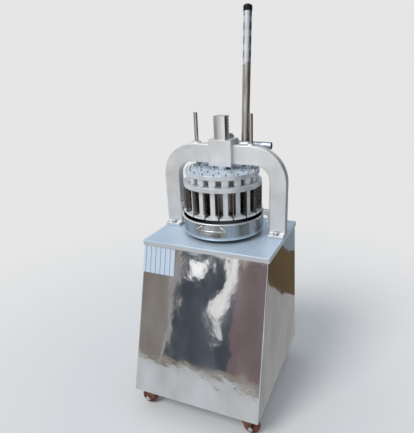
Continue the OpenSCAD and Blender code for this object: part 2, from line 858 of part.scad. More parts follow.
module axle(sx, sy) {
  color(steel) caster_place(sx, sy) translate([trail_side(sx, sy) * trail, 0, wheel_r]) {
    rod_y(axle_r, wheel_w + 10);
    for (y = [-wheel_w / 2 - 5, wheel_w / 2 + 10])
      translate([0, y, 0]) rotate([90, 0, 0]) hex(13, 5);
  }
}

module caster_axle_fl() { axle(-1, -1); }
module caster_axle_fr() { axle(1, -1); }
module caster_axle_rl() { axle(-1, 1); }
module caster_axle_rr() { axle(1, 1); }

// What is drawn: all of it, or one node by its name.
support_frame();
cabinet_shell();
table_lid();
rear_panel();
rear_panel_screws();
label_plate();
arch_casting();
arch_foot_bolts();
arch_foot_nuts();
pan_lugs();
pan_lug_screws();
pinion();
pinion_key();
pinion_shaft();
shaft_collar();
shaft_collar_screw();
lever_hub();
lever_hub_bolt();
lever_tube();
lever_cap();
rack_column();
rack_bolt();
knife_plate();
outer_radial_knives();
middle_radial_knives();
inner_radial_knives();
large_ring_knife();
small_ring_knife();
press_plate();
outer_press_blocks();
middle_press_blocks();
inner_press_blocks();
block_bolts();
guide_rods();
guide_rod_nuts();
dough_pan();
pan_handle();
caster_plates();
caster_bolts();
caster_fork_fl();
caster_fork_fr();
caster_fork_rl();
caster_fork_rr();
caster_wheel_fl();
caster_wheel_fr();
caster_wheel_rl();
caster_wheel_rr();
caster_axle_fl();
caster_axle_fr();
caster_axle_rl();
caster_axle_rr();
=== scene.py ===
import math
from collections import namedtuple

import bmesh
import bpy
from mathutils import Matrix, Vector


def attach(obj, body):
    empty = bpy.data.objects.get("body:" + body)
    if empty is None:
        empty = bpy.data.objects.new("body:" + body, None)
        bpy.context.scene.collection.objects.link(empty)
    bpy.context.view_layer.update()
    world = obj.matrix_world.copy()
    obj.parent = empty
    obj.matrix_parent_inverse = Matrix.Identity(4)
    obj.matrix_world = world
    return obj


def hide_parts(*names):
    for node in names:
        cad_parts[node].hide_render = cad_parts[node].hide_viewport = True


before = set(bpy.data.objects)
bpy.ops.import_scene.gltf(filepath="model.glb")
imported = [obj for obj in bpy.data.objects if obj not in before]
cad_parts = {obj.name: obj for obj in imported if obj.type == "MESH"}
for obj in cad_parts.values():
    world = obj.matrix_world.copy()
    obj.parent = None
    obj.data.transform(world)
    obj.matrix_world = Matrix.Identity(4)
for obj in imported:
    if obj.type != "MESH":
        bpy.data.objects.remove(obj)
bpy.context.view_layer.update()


# The camera stands in front of the machine, a little to its right, and looks down on it.
# Its place, turn and lens were solved from the corners and rims in the photograph.
PICTURE_WIDTH, PICTURE_HEIGHT = 414, 433
FOCAL_PIXELS = 395.207
CENTRE_U, CENTRE_V = 239.573, 221.653
scene = bpy.context.scene
eye = Matrix.Translation((0.472239, -1.031719, 1.008421))
heading = Matrix.Rotation(0.369425, 4, "Z")
downward = Matrix.Rotation(math.pi / 2 - 0.358170, 4, "X")
level = Matrix.Rotation(-0.015397, 4, "Z")
lens = bpy.data.cameras.new("camera")
lens.sensor_fit = "HORIZONTAL"
lens.sensor_width = 36
lens.lens = lens.sensor_width * FOCAL_PIXELS / PICTURE_WIDTH
lens.shift_x = (PICTURE_WIDTH / 2 - CENTRE_U) / PICTURE_WIDTH
lens.shift_y = (CENTRE_V - PICTURE_HEIGHT / 2) / PICTURE_WIDTH
camera = bpy.data.objects.new("camera", lens)
camera.matrix_world = eye @ heading @ downward @ level
scene.collection.objects.link(camera)
scene.camera = camera


# The inner frame is welded from square bar and plate and painted grey. It is the CAD piece
# itself, hardly seen, and only gets its paint.
def finish(name, colour, metallic, roughness):
    """A new material with its plain values set on the shader."""
    material = bpy.data.materials.new(name)
    material.use_nodes = True
    shader = material.node_tree.nodes["Principled BSDF"]
    shader.inputs["Base Color"].default_value = (*colour, 1)
    shader.inputs["Metallic"].default_value = metallic
    shader.inputs["Roughness"].default_value = roughness
    return material


def node(owner, kind, inputs=None, **settings):
    """A node with its settings, and its inputs set to values or linked to outputs. It is made in
    the owner's tree, or in the tree that a pattern is part of."""
    tree = owner.id_data if isinstance(owner, bpy.types.NodeSocket) else owner.node_tree
    made = tree.nodes.new("ShaderNode" + kind)
    for setting, value in settings.items():
        setattr(made, setting, value)
    for socket, value in (inputs or {}).items():
        if isinstance(value, bpy.types.NodeSocket):
            tree.links.new(value, made.inputs[socket])
        else:
            made.inputs[socket].default_value = value
    return made


def place(material, stretch=(1, 1, 1), centre=(0, 0, 0)):
    """Points of the piece in metres, counted from a centre and stretched along each axis."""
    points = node(material, "TexCoord").outputs["Object"]
    shifted = node(material, "VectorMath", {0: points, 1: centre}, operation="SUBTRACT")
    scaled = node(material, "VectorMath", {0: shifted.outputs[0], 1: stretch}, operation="MULTIPLY")
    return scaled.outputs[0]


def grain(material, per_metre, detail=4, stretch=(1, 1, 1)):
    """Noise with so many lumps to the metre, longer where the stretch is small."""
    points = place(material, stretch)
    noise = node(material, "TexNoise", {"Vector": points, "Scale": per_metre, "Detail": detail})
    return noise.outputs["Fac"]


def spread(pattern, low, high, start=0.3, end=0.7):
    """The pattern's values between start and end, laid over the range low to high."""
    inputs = {"Value": pattern, "From Min": start, "From Max": end, "To Min": low, "To Max": high}
    return node(pattern, "MapRange", inputs).outputs["Result"]


def colour_by(pattern, *stops):
    """A colour for each value of the pattern, from stops of a position and a colour."""
    ramp = node(pattern, "ValToRGB", {"Fac": pattern})
    elements = ramp.color_ramp.elements
    for i, (position, colour) in enumerate(stops):
        stop = elements[i] if i < 2 else elements.new(position)
        stop.position = position
        stop.color = (*colour, 1)
    return ramp.outputs["Color"]


def put(material, colour, roughness, normal):
    """Links a pattern to each of the shader's three sockets."""
    shader = material.node_tree.nodes["Principled BSDF"]
    for socket, value in (("Base Color", colour), ("Roughness", roughness), ("Normal", normal)):
        material.node_tree.links.new(value, shader.inputs[socket])


def relief(pattern, height, before=None):
    """Bumps of the given height in metres, on top of those already there."""
    inputs = {"Height": pattern, "Distance": height}
    if before is not None:
        inputs["Normal"] = before
    return node(pattern, "Bump", inputs).outputs["Normal"]


def wear(material, mottle, colours, roughness, height, bumps=None, rub=None, before=None, stops=(0.3, 0.7)):
    """The colour, roughness and bumps of a material, each by its own noise, given as in grain.
    Roughness and bumps follow the colour's noise, if they have none of their own."""
    put(material, colour_by(grain(material, *mottle), *zip(stops, colours)),
        spread(grain(material, *(rub or mottle)), *roughness),
        relief(grain(material, *(bumps or mottle)), height, before))


frame_paint = finish("frame_paint", (0.30, 0.31, 0.32), 0.2, 0.5)
wear(frame_paint, (30,), ((0.24, 0.25, 0.26), (0.36, 0.37, 0.38)), (0.4, 0.6), 0.0003, bumps=(400,))


def refinish(node_name, material):
    """The CAD piece stays as it is and takes the material in all its slots."""
    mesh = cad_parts[node_name].data
    mesh.materials.clear()
    mesh.materials.append(material)


refinish("support_frame", frame_paint)


# The cabinet shell is bent from polished sheet 2 mm thick. Its front and rear slope outwards
# to the floor, the corners are rounded in the bending press, and the bottom edge is folded in.
BASE_WIDTH, BASE_DEPTH, BASE_Z = 0.413, 0.449, 0.072
SHELL_TOP_Z = 0.539
SHELL_TOP_WIDTH, SHELL_TOP_FRONT, SHELL_TOP_BACK = 0.394, -0.103, 0.196
SHEET, BOTTOM_FOLD, CORNER_BEND = 0.002, 0.014, 0.004


def mode(name):
    bpy.ops.object.mode_set(mode=name)


def clear():
    """Object mode, with nothing selected."""
    if bpy.context.mode != "OBJECT":
        mode("OBJECT")
    bpy.ops.object.select_all(action="DESELECT")


def take(piece):
    """The piece alone is selected and active."""
    clear()
    piece.select_set(True)
    bpy.context.view_layer.objects.active = piece


def named(name):
    """The active piece, with its name, and with its place and size applied to its mesh."""
    bpy.ops.object.transform_apply(location=True, rotation=True, scale=True)
    piece = bpy.context.object
    piece.name = name
    piece.data.name = name
    return piece


def block(name, low, high):
    """A cuboid blank between two corners."""
    clear()
    middle = [(a + b) / 2 for a, b in zip(low, high)]
    bpy.ops.mesh.primitive_cube_add(size=1, location=middle)
    bpy.context.object.scale = [b - a for a, b in zip(low, high)]
    return named(name)


def pick(piece, kind, wanted):
    """Edit mode on the piece, with each edge or face selected for which wanted is true."""
    take(piece)
    mode("EDIT")
    bpy.ops.mesh.select_mode(type=kind)
    bpy.ops.mesh.select_all(action="DESELECT")
    mesh = bmesh.from_edit_mesh(piece.data)
    for part in mesh.edges if kind == "EDGE" else mesh.faces:
        if wanted(part):
            part.select_set(True)
    bmesh.update_edit_mesh(piece.data)


def pick_level(piece, side):
    """Edit mode, with the faces selected that look straight up (1) or down (-1)."""
    pick(piece, "FACE", lambda f: f.normal.z * side > 0.9)


def middle_of(edge):
    return (edge.verts[0].co + edge.verts[1].co) / 2


def along(edge):
    """The direction of an edge, with no sign."""
    run = (edge.verts[1].co - edge.verts[0].co).normalized()
    return Vector(abs(c) for c in run)


def round_edges(piece, width, segments, wanted):
    """The edges for which wanted is true are rounded."""
    pick(piece, "EDGE", wanted)
    bpy.ops.mesh.bevel(offset=width, segments=segments, affect="EDGES")
    mode("OBJECT")


def modify(piece, kind, **settings):
    """A modifier is added and applied."""
    take(piece)
    modifier = piece.modifiers.new(kind, kind)
    for setting, value in settings.items():
        setattr(modifier, setting, value)
    bpy.ops.object.modifier_apply(modifier=modifier.name)


def edit_all(piece):
    """Edit mode on the piece, with all of it selected."""
    take(piece)
    mode("EDIT")
    bpy.ops.mesh.select_all(action="SELECT")


def outward(piece):
    """Doubles are merged and all faces point outwards."""
    edit_all(piece)
    bpy.ops.mesh.remove_doubles(threshold=0.00001)
    bpy.ops.mesh.normals_make_consistent(inside=False)
    mode("OBJECT")


def smooth(piece, degrees=35):
    take(piece)
    bpy.ops.object.shade_smooth_by_angle(angle=math.radians(degrees))


def soften(piece, width, segments=2, degrees=35):
    """The sharp edges are broken, and the shading runs round them."""
    modify(piece, "BEVEL", width=width, segments=segments, limit_method="ANGLE",
           angle_limit=math.radians(degrees))
    smooth(piece)


def fit(piece, material, body, slot, *nodes):
    """The piece gets its finish, rides on its body, and stands for its CAD nodes."""
    clear()
    piece.data.materials.clear()
    piece.data.materials.append(material)
    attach(piece, body)
    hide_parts(*nodes)


shell = block("cabinet_sheet", (-BASE_WIDTH / 2, -BASE_DEPTH / 2, BASE_Z),
              (BASE_WIDTH / 2, BASE_DEPTH / 2, SHELL_TOP_Z))
pick_level(shell, 1)
SHELL_TOP_DEPTH = SHELL_TOP_BACK - SHELL_TOP_FRONT
bpy.ops.transform.resize(value=(SHELL_TOP_WIDTH / BASE_WIDTH, SHELL_TOP_DEPTH / BASE_DEPTH, 1))
bpy.ops.transform.translate(value=(0, (SHELL_TOP_BACK + SHELL_TOP_FRONT) / 2, 0))
pick_level(shell, 1)
bpy.ops.mesh.delete(type="FACE")
pick_level(shell, -1)
bpy.ops.mesh.inset(thickness=BOTTOM_FOLD)
bpy.ops.mesh.delete(type="FACE")
round_edges(shell, CORNER_BEND, 4, lambda e: along(e).z > 0.8)
outward(shell)
modify(shell, "SOLIDIFY", thickness=SHEET, offset=-1)
smooth(shell, 30)

mirror_sheet = finish("mirror_sheet", (0.66, 0.66, 0.67), 1.0, 0.09)
waves = relief(grain(mirror_sheet, 5.5, 1.5, (1, 1, 0.8)), 0.010)
dents = relief(grain(mirror_sheet, 26, 2), 0.0006, waves)
# Soft upright streaks of warmer darker and cooler paler grey in the sheet's colour are a mild painted
# reflection.
wear(mirror_sheet, (14, 6, (1, 1, 0.35)), ((0.56, 0.555, 0.55), (0.74, 0.745, 0.755)), (0.05, 0.16),
     0.00001, bumps=(700, 3, (1, 1, 0.03)), before=dents)
fit(shell, mirror_sheet, "stand", "polished_sheet", "cabinet_shell")


# The table lid is a shallow tray of satin sheet turned upside down over the shell, with a
# folded skirt all round. Its top still carries bluish protective film, and the skirt is bare.
LID_LOW, LID_HIGH = (-0.200, -0.109, 0.526), (0.200, 0.199, 0.541)
LID_CORNER, LID_EDGE = 0.003, 0.002
lid = block("lid_sheet", LID_LOW, LID_HIGH)
pick_level(lid, -1)
bpy.ops.mesh.delete(type="FACE")
round_edges(lid, LID_CORNER, 4, lambda e: along(e).z > 0.8)
round_edges(lid, LID_EDGE, 4, lambda e: middle_of(e).z > LID_HIGH[2] - 0.0001)
outward(lid)
modify(lid, "SOLIDIFY", thickness=SHEET, offset=-1)
smooth(lid, 30)


def distance_along(material, axis, centre=(0, 0, 0)):
    """How far each point lies from a centre along one axis."""
    return node(material, "SeparateXYZ", {0: place(material, centre=centre)}).outputs[axis]


def blend(share, first, second):
    """The first colour where the share is 0, and the second where it is 1."""
    return node(share, "Mix", {0: share, 6: first, 7: second}, data_type="RGBA").outputs[2]


SKIRT_BARE, SKIRT_FILMED = 0.5365, 0.5390
lid_film = finish("lid_film", (0.60, 0.72, 0.84), 0.25, 0.38)
film_marks = grain(lid_film, 9, 6, (1, 0.5, 1))
film_creases = grain(lid_film, 60, 5)
filmed = colour_by(film_marks, (0.25, (0.49, 0.61, 0.74)), (0.75, (0.62, 0.74, 0.86)))
skirt = spread(distance_along(lid_film, "Z"), 1, 0, SKIRT_BARE, SKIRT_FILMED)
put(lid_film, blend(skirt, filmed, (0.57, 0.58, 0.59, 1)), spread(film_marks, 0.30, 0.46),
    relief(film_creases, 0.0004, relief(film_marks, 0.002)))
fit(lid, lid_film, "stand", "satin_sheet", "table_lid")


# The blank plate on the front is thin sheet with a pale coat and plain ruled lines. It is
# glued on, and the CAD piece stays.
FIRST_RULE, RULE_PITCH = -0.1965, 0.0165


def maths(operation, first, second):
    """The result of one sum with a pattern and a value or a second pattern."""
    return node(first, "Math", {0: first, 1: second}, operation=operation).outputs[0]


plate_coat = finish("plate_coat", (0.56, 0.64, 0.74), 0.0, 0.35)
rule_run = distance_along(plate_coat, "X", (FIRST_RULE, 0, 0))
rule_share = spread(maths("MODULO", rule_run, RULE_PITCH), 0, 1, 0, RULE_PITCH)
ruled = colour_by(
    rule_share, (0.0, (0.56, 0.65, 0.76)), (0.40, (0.60, 0.69, 0.80)), (0.46, (0.20, 0.25, 0.31)),
    (0.54, (0.20, 0.25, 0.31)), (0.60, (0.60, 0.69, 0.80)), (1.0, (0.56, 0.65, 0.76)))
put(plate_coat, ruled, spread(grain(plate_coat, 80), 0.28, 0.45),
    relief(grain(plate_coat, 500), 0.00005))
refinish("label_plate", plate_coat)


# The rear cover closes the access opening. It is flat sheet with rounded corners, held by six
# pan head screws with a cross recess, and it lies on the slope of the rear wall.
BACK_SLOPE = math.atan((BASE_DEPTH / 2 - SHELL_TOP_BACK) / (SHELL_TOP_Z - BASE_Z))
COVER_HALF, COVER_LOW, COVER_HIGH, COVER_SHEET = 0.150, 0.060, 0.390, 0.0015


def at(x, y, z, turn=0, axis="Z"):
    """A place, and a turn there about one axis."""
    return Matrix.Translation((x, y, z)) @ Matrix.Rotation(turn, 4, axis)


on_rear = at(0, BASE_DEPTH / 2, BASE_Z, BACK_SLOPE, "X")


def turned(name, steps, sides=64, hollow=False):
    """A piece turned round the Z axis. A disc, or for a tube its edge, is drawn out from
    step to step, each a height and a radius."""
    clear()
    height, radius = steps[0]
    bpy.ops.mesh.primitive_circle_add(
        vertices=sides, radius=radius, fill_type="NOTHING" if hollow else "NGON", location=(0, 0, height))
    piece = named(name)
    edit_all(piece)
    extrude = bpy.ops.mesh.extrude_edges_move if hollow else bpy.ops.mesh.extrude_region_move
    for new_height, new_radius in steps[1:]:
        extrude(TRANSFORM_OT_translate={"value": (0, 0, new_height - height)})
        ratio = new_radius / radius
        bpy.ops.transform.resize(value=(ratio, ratio, 1))
        height, radius = new_height, new_radius
    outward(piece)
    return piece


def combine(piece, operation, tool):
    """The tool is used up in a union, difference or intersection with the piece."""
    modify(piece, "BOOLEAN", operation=operation, object=tool, solver="EXACT")
    bpy.data.objects.remove(tool)


def cut(piece, *tools):
    for tool in tools:
        combine(piece, "DIFFERENCE", tool)


def copies(name, piece, places):
    """Copies of the piece at each place, joined into one, and the first one removed."""
    made = []
    for where in places:
        copy = piece.copy()
        copy.data = piece.data.copy()
        copy.data.transform(where)
        scene.collection.objects.link(copy)
        made.append(copy)
    bpy.data.objects.remove(piece)
    return joined(name, made)


def joined(name, pieces):
    take(pieces[0])
    for piece in pieces:
        piece.select_set(True)
    bpy.ops.object.join()
    return named(name)


cover = block("rear_cover", (-COVER_HALF, 0, COVER_LOW), (COVER_HALF, COVER_SHEET, COVER_HIGH))
round_edges(cover, 0.008, 5, lambda e: along(e).y > 0.9)
cover.data.transform(on_rear)
soften(cover, 0.0004)
fit(cover, mirror_sheet, "stand", "polished_sheet", "rear_panel")


def cross_screw(name, radius, height):
    """A domed head with a cross recess, its underside on z = 0."""
    head = turned(name, [(0, radius), (height * 0.35, radius), (height * 0.7, radius * 0.86),
                         (height * 0.93, radius * 0.55), (height, radius * 0.2)], 24)
    arm, half, floor_z = radius * 0.55, radius * 0.11, height * 0.45
    cut(head, block("slot", (-arm, -half, floor_z), (arm, half, height * 2)),
        block("slot", (-half, -arm, floor_z), (half, arm, height * 2)))
    smooth(head)
    return head


zinc = finish("zinc_plate", (0.62, 0.63, 0.64), 1.0, 0.3)
wear(zinc, (350, 3), ((0.50, 0.51, 0.53), (0.74, 0.75, 0.76)), (0.22, 0.42), 0.00003, bumps=(1500, 2))


def fasten(name, piece, places, body, node_name):
    """Zinc plated copies of the piece at each place."""
    fit(copies(name, piece, places), zinc, body, "fastener_steel", node_name)


SCREW_INSET = 0.008
screw_places = [
    on_rear @ at(x, COVER_SHEET, z, -math.pi / 2, "X")
    for x in (-COVER_HALF + SCREW_INSET, COVER_HALF - SCREW_INSET)
    for z in (COVER_LOW + SCREW_INSET, (COVER_LOW + COVER_HIGH) / 2, COVER_HIGH - SCREW_INSET)
]
fasten("cover_screws", cross_screw("cover_screw", 0.0045, 0.002), screw_places, "stand", "rear_panel_screws")


# The arch is one aluminium casting, bolted to the table by its feet. It has a front boss that
# guides the toothed column, a stiffening rib and two cheeks that carry the pinion shaft.
TABLE_Z = 0.541
ARCH_HALF, ARCH_OPENING_HALF = 0.2005, 0.1495
ARCH_FRONT, ARCH_BACK = 0.0475, 0.0765
ARCH_TOP, BEAM_LOW = TABLE_Z + 0.271, TABLE_Z + 0.2145
FOOT_OUT, FOOT_HIGH = 0.018, 0.010
BOSS_HALF, BOSS_FRONT, BOSS_LOW, BOSS_HIGH = 0.0362, 0.0305, TABLE_Z + 0.208, TABLE_Z + 0.287
CHEEK_OUT, CHEEK_IN, CHEEK_RADIUS, CHEEK_LOW = 0.032, 0.013, 0.020, TABLE_Z + 0.226
ARCH_CORNER, OPENING_CORNER, RIB_HALF, RIB_DEPTH, ROD_BOSS_RADIUS = 0.107, 0.045, 0.062, 0.022, 0.013
SHAFT_Y, SHAFT_Z = 0.098, TABLE_Z + 0.266
COLUMN_Y, COLUMN_HALF = 0.053, 0.018
ROD_X, ROD_Y, ROD_RADIUS = 0.088, 0.062, 0.006
OVERLAP, CLEAR, PLAY, SHAFT_BORE = 0.002, 0.01, 0.0003, 0.00805


def rod_between(name, start, end, radius, sides=48):
    """A round bar between two points."""
    clear()
    run = Vector(end) - Vector(start)
    bpy.ops.mesh.primitive_cylinder_add(vertices=sides, radius=radius, depth=run.length)
    piece = named(name)
    turn = Vector((0, 0, 1)).rotation_difference(run).to_matrix().to_4x4()
    piece.data.transform(Matrix.Translation((Vector(start) + Vector(end)) / 2) @ turn)
    return piece


def arched(name, half, top, corner, low, front, back, segments):
    """A slab with its two upper corners rounded."""
    piece = block(name, (-half, front, low), (half, back, top))
    round_edges(piece, corner, segments,
                lambda e: along(e).y > 0.9 and middle_of(e).z > (low + top) / 2)
    return piece


arch = arched("arch", ARCH_HALF, ARCH_TOP, ARCH_CORNER, TABLE_Z, ARCH_FRONT, ARCH_BACK, 24)
cut(arch, arched("opening", ARCH_OPENING_HALF, BEAM_LOW, OPENING_CORNER, TABLE_Z - CLEAR,
                 ARCH_FRONT - CLEAR, ARCH_BACK + CLEAR, 14))
parts = [arch]
for side in (-1, 1):
    inner, outer = sorted((side * ARCH_OPENING_HALF, side * ARCH_HALF))
    parts.append(block("foot", (inner, ARCH_FRONT - FOOT_OUT, TABLE_Z),
                       (outer, ARCH_BACK + FOOT_OUT, TABLE_Z + FOOT_HIGH)))
    parts.append(rod_between("rod_boss", (side * ROD_X, ROD_Y, ARCH_TOP - 0.006),
                             (side * ROD_X, ROD_Y, ARCH_TOP + 0.006), ROD_BOSS_RADIUS))
parts.append(block("boss", (-BOSS_HALF, BOSS_FRONT, BOSS_LOW), (BOSS_HALF, ARCH_BACK, BOSS_HIGH)))
parts.append(block("rib", (-RIB_HALF, ARCH_BACK - OVERLAP, BOSS_LOW),
                   (RIB_HALF, ARCH_BACK + RIB_DEPTH, CHEEK_LOW)))
cheeks = block("cheeks", (-CHEEK_OUT, ARCH_BACK - OVERLAP, CHEEK_LOW - 0.001),
               (CHEEK_OUT, SHAFT_Y + CHEEK_RADIUS, SHAFT_Z + CHEEK_RADIUS))
round_edges(cheeks, CHEEK_RADIUS * 0.98, 10, lambda e: along(e).x > 0.9 and middle_of(e).y > SHAFT_Y)
parts.append(cheeks)
arch = joined("arch", parts)
modify(arch, "REMESH", mode="VOXEL", voxel_size=0.0018)
modify(arch, "SMOOTH", factor=0.5, iterations=4)
cut(arch,
    block("column_way", (-COLUMN_HALF - PLAY, COLUMN_Y - COLUMN_HALF - PLAY, BOSS_LOW - CLEAR),
          (COLUMN_HALF + PLAY, COLUMN_Y + COLUMN_HALF + PLAY, BOSS_HIGH + CLEAR)),
    block("pinion_way", (-CHEEK_IN, COLUMN_Y + COLUMN_HALF, TABLE_Z + 0.231),
          (CHEEK_IN, SHAFT_Y + 0.03, BOSS_HIGH + CLEAR)),
    rod_between("shaft_bore", (-0.05, SHAFT_Y, SHAFT_Z), (0.05, SHAFT_Y, SHAFT_Z), SHAFT_BORE),
    *(rod_between("rod_bore", (x, ROD_Y, BEAM_LOW - 0.02), (x, ROD_Y, ARCH_TOP + 0.02), ROD_RADIUS + PLAY)
      for x in (-ROD_X, ROD_X)))
smooth(arch, 40)

cast_grey = finish("cast_grey", (0.78, 0.78, 0.78), 0.75, 0.5)
lumps = relief(grain(cast_grey, 22, 5), 0.0006)
wear(cast_grey, (22, 5), ((0.72, 0.72, 0.72), (0.79, 0.79, 0.785), (0.84, 0.84, 0.83)), (0.46, 0.60),
     0.00012, bumps=(900, 3), before=lumps, stops=(0.25, 0.5, 0.75))
fit(arch, cast_grey, "stand", "cast_aluminium", "arch_casting")


# Four hexagon bolts with washers go through the feet and the table into nuts under the frame.
# They are zinc plated. The nuts are out of sight, and the CAD pieces stay.
def hex_head(name, across, height, washer=0.0):
    """A hexagon head with its upper corners turned off, and a washer under it."""
    corner = across / 2 / math.cos(math.pi / 6)
    clear()
    bpy.ops.mesh.primitive_cylinder_add(vertices=6, radius=corner, depth=height - washer,
                                        location=(0, 0, (height + washer) / 2))
    head = named(name)
    cone = turned("cone", [(-0.001, corner * 1.1), (height * 0.75, corner * 1.02),
                           (height + 0.0001, across * 0.46)], 40)
    combine(head, "INTERSECT", cone)
    soften(head, across * 0.012, 1)
    if washer:
        rim = across * 0.58
        ring = turned("washer", [(0, rim * 0.98), (washer * 0.2, rim), (washer * 0.8, rim),
                                 (washer, rim * 0.98)], 32)
        smooth(ring)
        head = joined(name, [head, ring])
    return head


BOLT_X, BOLT_FRONT, BOLT_BACK = (ARCH_OPENING_HALF + ARCH_HALF) / 2, ARCH_FRONT - 0.0095, ARCH_BACK + 0.0095
foot_places = [
    at(x, y, TABLE_Z + FOOT_HIGH, turn)
    for x, y, turn in ((-BOLT_X, BOLT_FRONT, 0.3), (-BOLT_X, BOLT_BACK, 0.9),
                       (BOLT_X, BOLT_FRONT, 0.1), (BOLT_X, BOLT_BACK, 0.6))
]
fasten("foot_bolts", hex_head("foot_bolt", 0.016, 0.007, 0.0013), foot_places, "stand", "arch_foot_bolts")
refinish("arch_foot_nuts", zinc)


# Two lugs hang from the legs over the pan's rim and hold it down. Each is milled from bar and
# held by one socket screw.
LUG_Y, LUG_HALF, LUG_LOW, LUG_IN = 0.0565, 0.008, TABLE_Z + 0.0647, 0.1245
LUG_SEAT_X, LUG_SCREW_Z = ARCH_OPENING_HALF - 0.005, TABLE_Z + 0.042
lug = block("lug", (LUG_IN, LUG_Y - LUG_HALF, LUG_LOW),
            (ARCH_OPENING_HALF, LUG_Y + LUG_HALF, LUG_LOW + 0.015))
combine(lug, "UNION", block("lug_plate", (LUG_SEAT_X, LUG_Y - LUG_HALF, TABLE_Z + 0.028),
                            (ARCH_OPENING_HALF, LUG_Y + LUG_HALF, LUG_LOW + 0.010)))
soften(lug, 0.0010, 3)
lugs = copies("hold_down_lugs", lug, [Matrix(), Matrix.Diagonal((-1, 1, 1, 1))])
outward(lugs)
smooth(lugs)

milled = finish("milled_steel", (0.66, 0.66, 0.67), 1.0, 0.35)
wear(milled, (260, 3, (1, 1, 0.08)), ((0.54, 0.54, 0.55), (0.76, 0.76, 0.77)), (0.26, 0.42), 0.00004)
fit(lugs, milled, "stand", "machined_steel", "pan_lugs")


def socket_head(name, radius, height):
    """A round head with a hexagon socket, its underside on z = 0."""
    head = turned(name, [(0, radius * 0.97), (height * 0.1, radius), (height * 0.85, radius),
                         (height, radius * 0.86)], 32)
    cut(head, rod_between("socket", (0, 0, height * 0.4), (0, 0, height * 2), radius * 0.5, 6))
    smooth(head)
    return head


lug_screw_places = [at(side * LUG_SEAT_X, LUG_Y, LUG_SCREW_Z, -side * math.pi / 2, "Y")
                    for side in (-1, 1)]
fasten("lug_screws", socket_head("lug_screw", 0.0055, 0.004), lug_screw_places, "stand", "pan_lug_screws")


# The pinion with its key is dark hobbed steel, oiled. It turns with the ground shaft, which a
# collar with a set screw keeps from sliding. Their CAD pieces have the true shapes and stay.
gear_steel = finish("oiled_steel", (0.38, 0.41, 0.46), 1.0, 0.35)
wear(gear_steel, (160, 4), ((0.26, 0.29, 0.34), (0.50, 0.53, 0.58)), (0.22, 0.5), 0.00008, bumps=(600,))
for name in ("pinion", "pinion_key", "shaft_collar", "shaft_collar_screw"):
    refinish(name, gear_steel)

ground = finish("ground_shaft", (0.70, 0.69, 0.68), 1.0, 0.2)
wear(ground, (900, 2, (1, 0.05, 0.05)), ((0.62, 0.61, 0.60), (0.76, 0.75, 0.74)), (0.15, 0.28), 0.00001)
refinish("pinion_shaft", ground)


# The lever hub is a length of bright tube over the shaft, open at its outer end, pinned by a
# cross bolt with two hexagon ends.
HUB_START, HUB_END, HUB_RADIUS, HUB_BORE = 0.0325, 0.140, 0.011, 0.0080
hub = turned("hub_tube", [
    (HUB_START, HUB_BORE + 0.0004), (HUB_START, HUB_RADIUS - 0.0006), (HUB_START + 0.0006, HUB_RADIUS),
    (HUB_END - 0.0006, HUB_RADIUS), (HUB_END, HUB_RADIUS - 0.0006), (HUB_END, HUB_BORE + 0.0004),
    (HUB_END - 0.0005, HUB_BORE), (HUB_START + 0.0005, HUB_BORE), (HUB_START, HUB_BORE + 0.0004)],
    hollow=True)
hub.data.transform(at(0, SHAFT_Y, SHAFT_Z, math.pi / 2, "Y"))
smooth(hub)

hub_bright = finish("hub_bright", (0.66, 0.71, 0.78), 1.0, 0.24)
wear(hub_bright, (120, 4, (0.4, 1, 1)), ((0.40, 0.45, 0.52), (0.58, 0.63, 0.70)), (0.28, 0.44),
     0.00002, bumps=(900, 2, (0.05, 1, 1)))
fit(hub, hub_bright, "lever", "satin_sheet", "lever_hub")

CROSS_X = 0.078
cross_places = [at(CROSS_X, SHAFT_Y - side * (HUB_RADIUS - 0.0003), SHAFT_Z, side * math.pi / 2, "X")
                for side in (1, -1)]
fasten("cross_bolt", hex_head("cross_end", 0.013, 0.005), cross_places, "lever", "lever_hub_bolt")


# The lever is a steel tube welded behind the hub. Its upper part is still wrapped in whitish
# film, and the lower part shows bare brownish steel. Dark stripes are painted down the film's
# left and right sides and faintly down its middle, as painted shade and reflection, and they
# weaken at each turn of the film.
LEVER_X, LEVER_BEHIND, LEVER_RADIUS, LEVER_BORE = 0.0485, 0.0227, 0.012, 0.0096
LEVER_LEAN = math.radians(4.94)
LEVER_LOW, LEVER_LENGTH = -0.018, 0.389948
TUBE_END = LEVER_LENGTH - 0.008
on_lever = at(LEVER_X, SHAFT_Y, SHAFT_Z, -LEVER_LEAN, "X") @ at(0, LEVER_BEHIND, 0)
lever = turned("lever_pipe", [
    (LEVER_LOW, LEVER_BORE), (LEVER_LOW, LEVER_RADIUS - 0.0004), (LEVER_LOW + 0.0004, LEVER_RADIUS),
    (TUBE_END, LEVER_RADIUS), (TUBE_END, LEVER_BORE), (LEVER_LOW, LEVER_BORE)], 48, hollow=True)
bpy.ops.mesh.primitive_torus_add(
    major_radius=0.0058, minor_radius=0.0021, major_segments=32, minor_segments=10,
    location=(0, 0.00015 - LEVER_RADIUS, 0), rotation=(math.pi / 2, 0, 0))
lever = joined("lever_pipe", [lever, named("weld")])
lever.data.transform(on_lever)
smooth(lever)

pipe_steel = finish("pipe_steel", (0.5, 0.48, 0.46), 0.85, 0.35)
shaft_middle = (LEVER_X, SHAFT_Y, SHAFT_Z)
pipe_height = distance_along(pipe_steel, "Z", shaft_middle)
streaks = grain(pipe_steel, 240, 3, (1, 1, 0.04))
bare = colour_by(streaks, (0.3, (0.37, 0.33, 0.29)), (0.7, (0.62, 0.57, 0.52)))
folds = grain(pipe_steel, 70, 4, (1, 1, 0.35))
wrap = colour_by(folds, (0.3, (0.70, 0.71, 0.73)), (0.7, (0.90, 0.91, 0.92)))
FILM_BARE, FILM_WHOLE = 0.248, 0.258
ragged = maths("MULTIPLY", grain(pipe_steel, 60), 0.05)
wrapped = spread(maths("ADD", pipe_height, ragged), 0, 1, FILM_BARE, FILM_WHOLE)
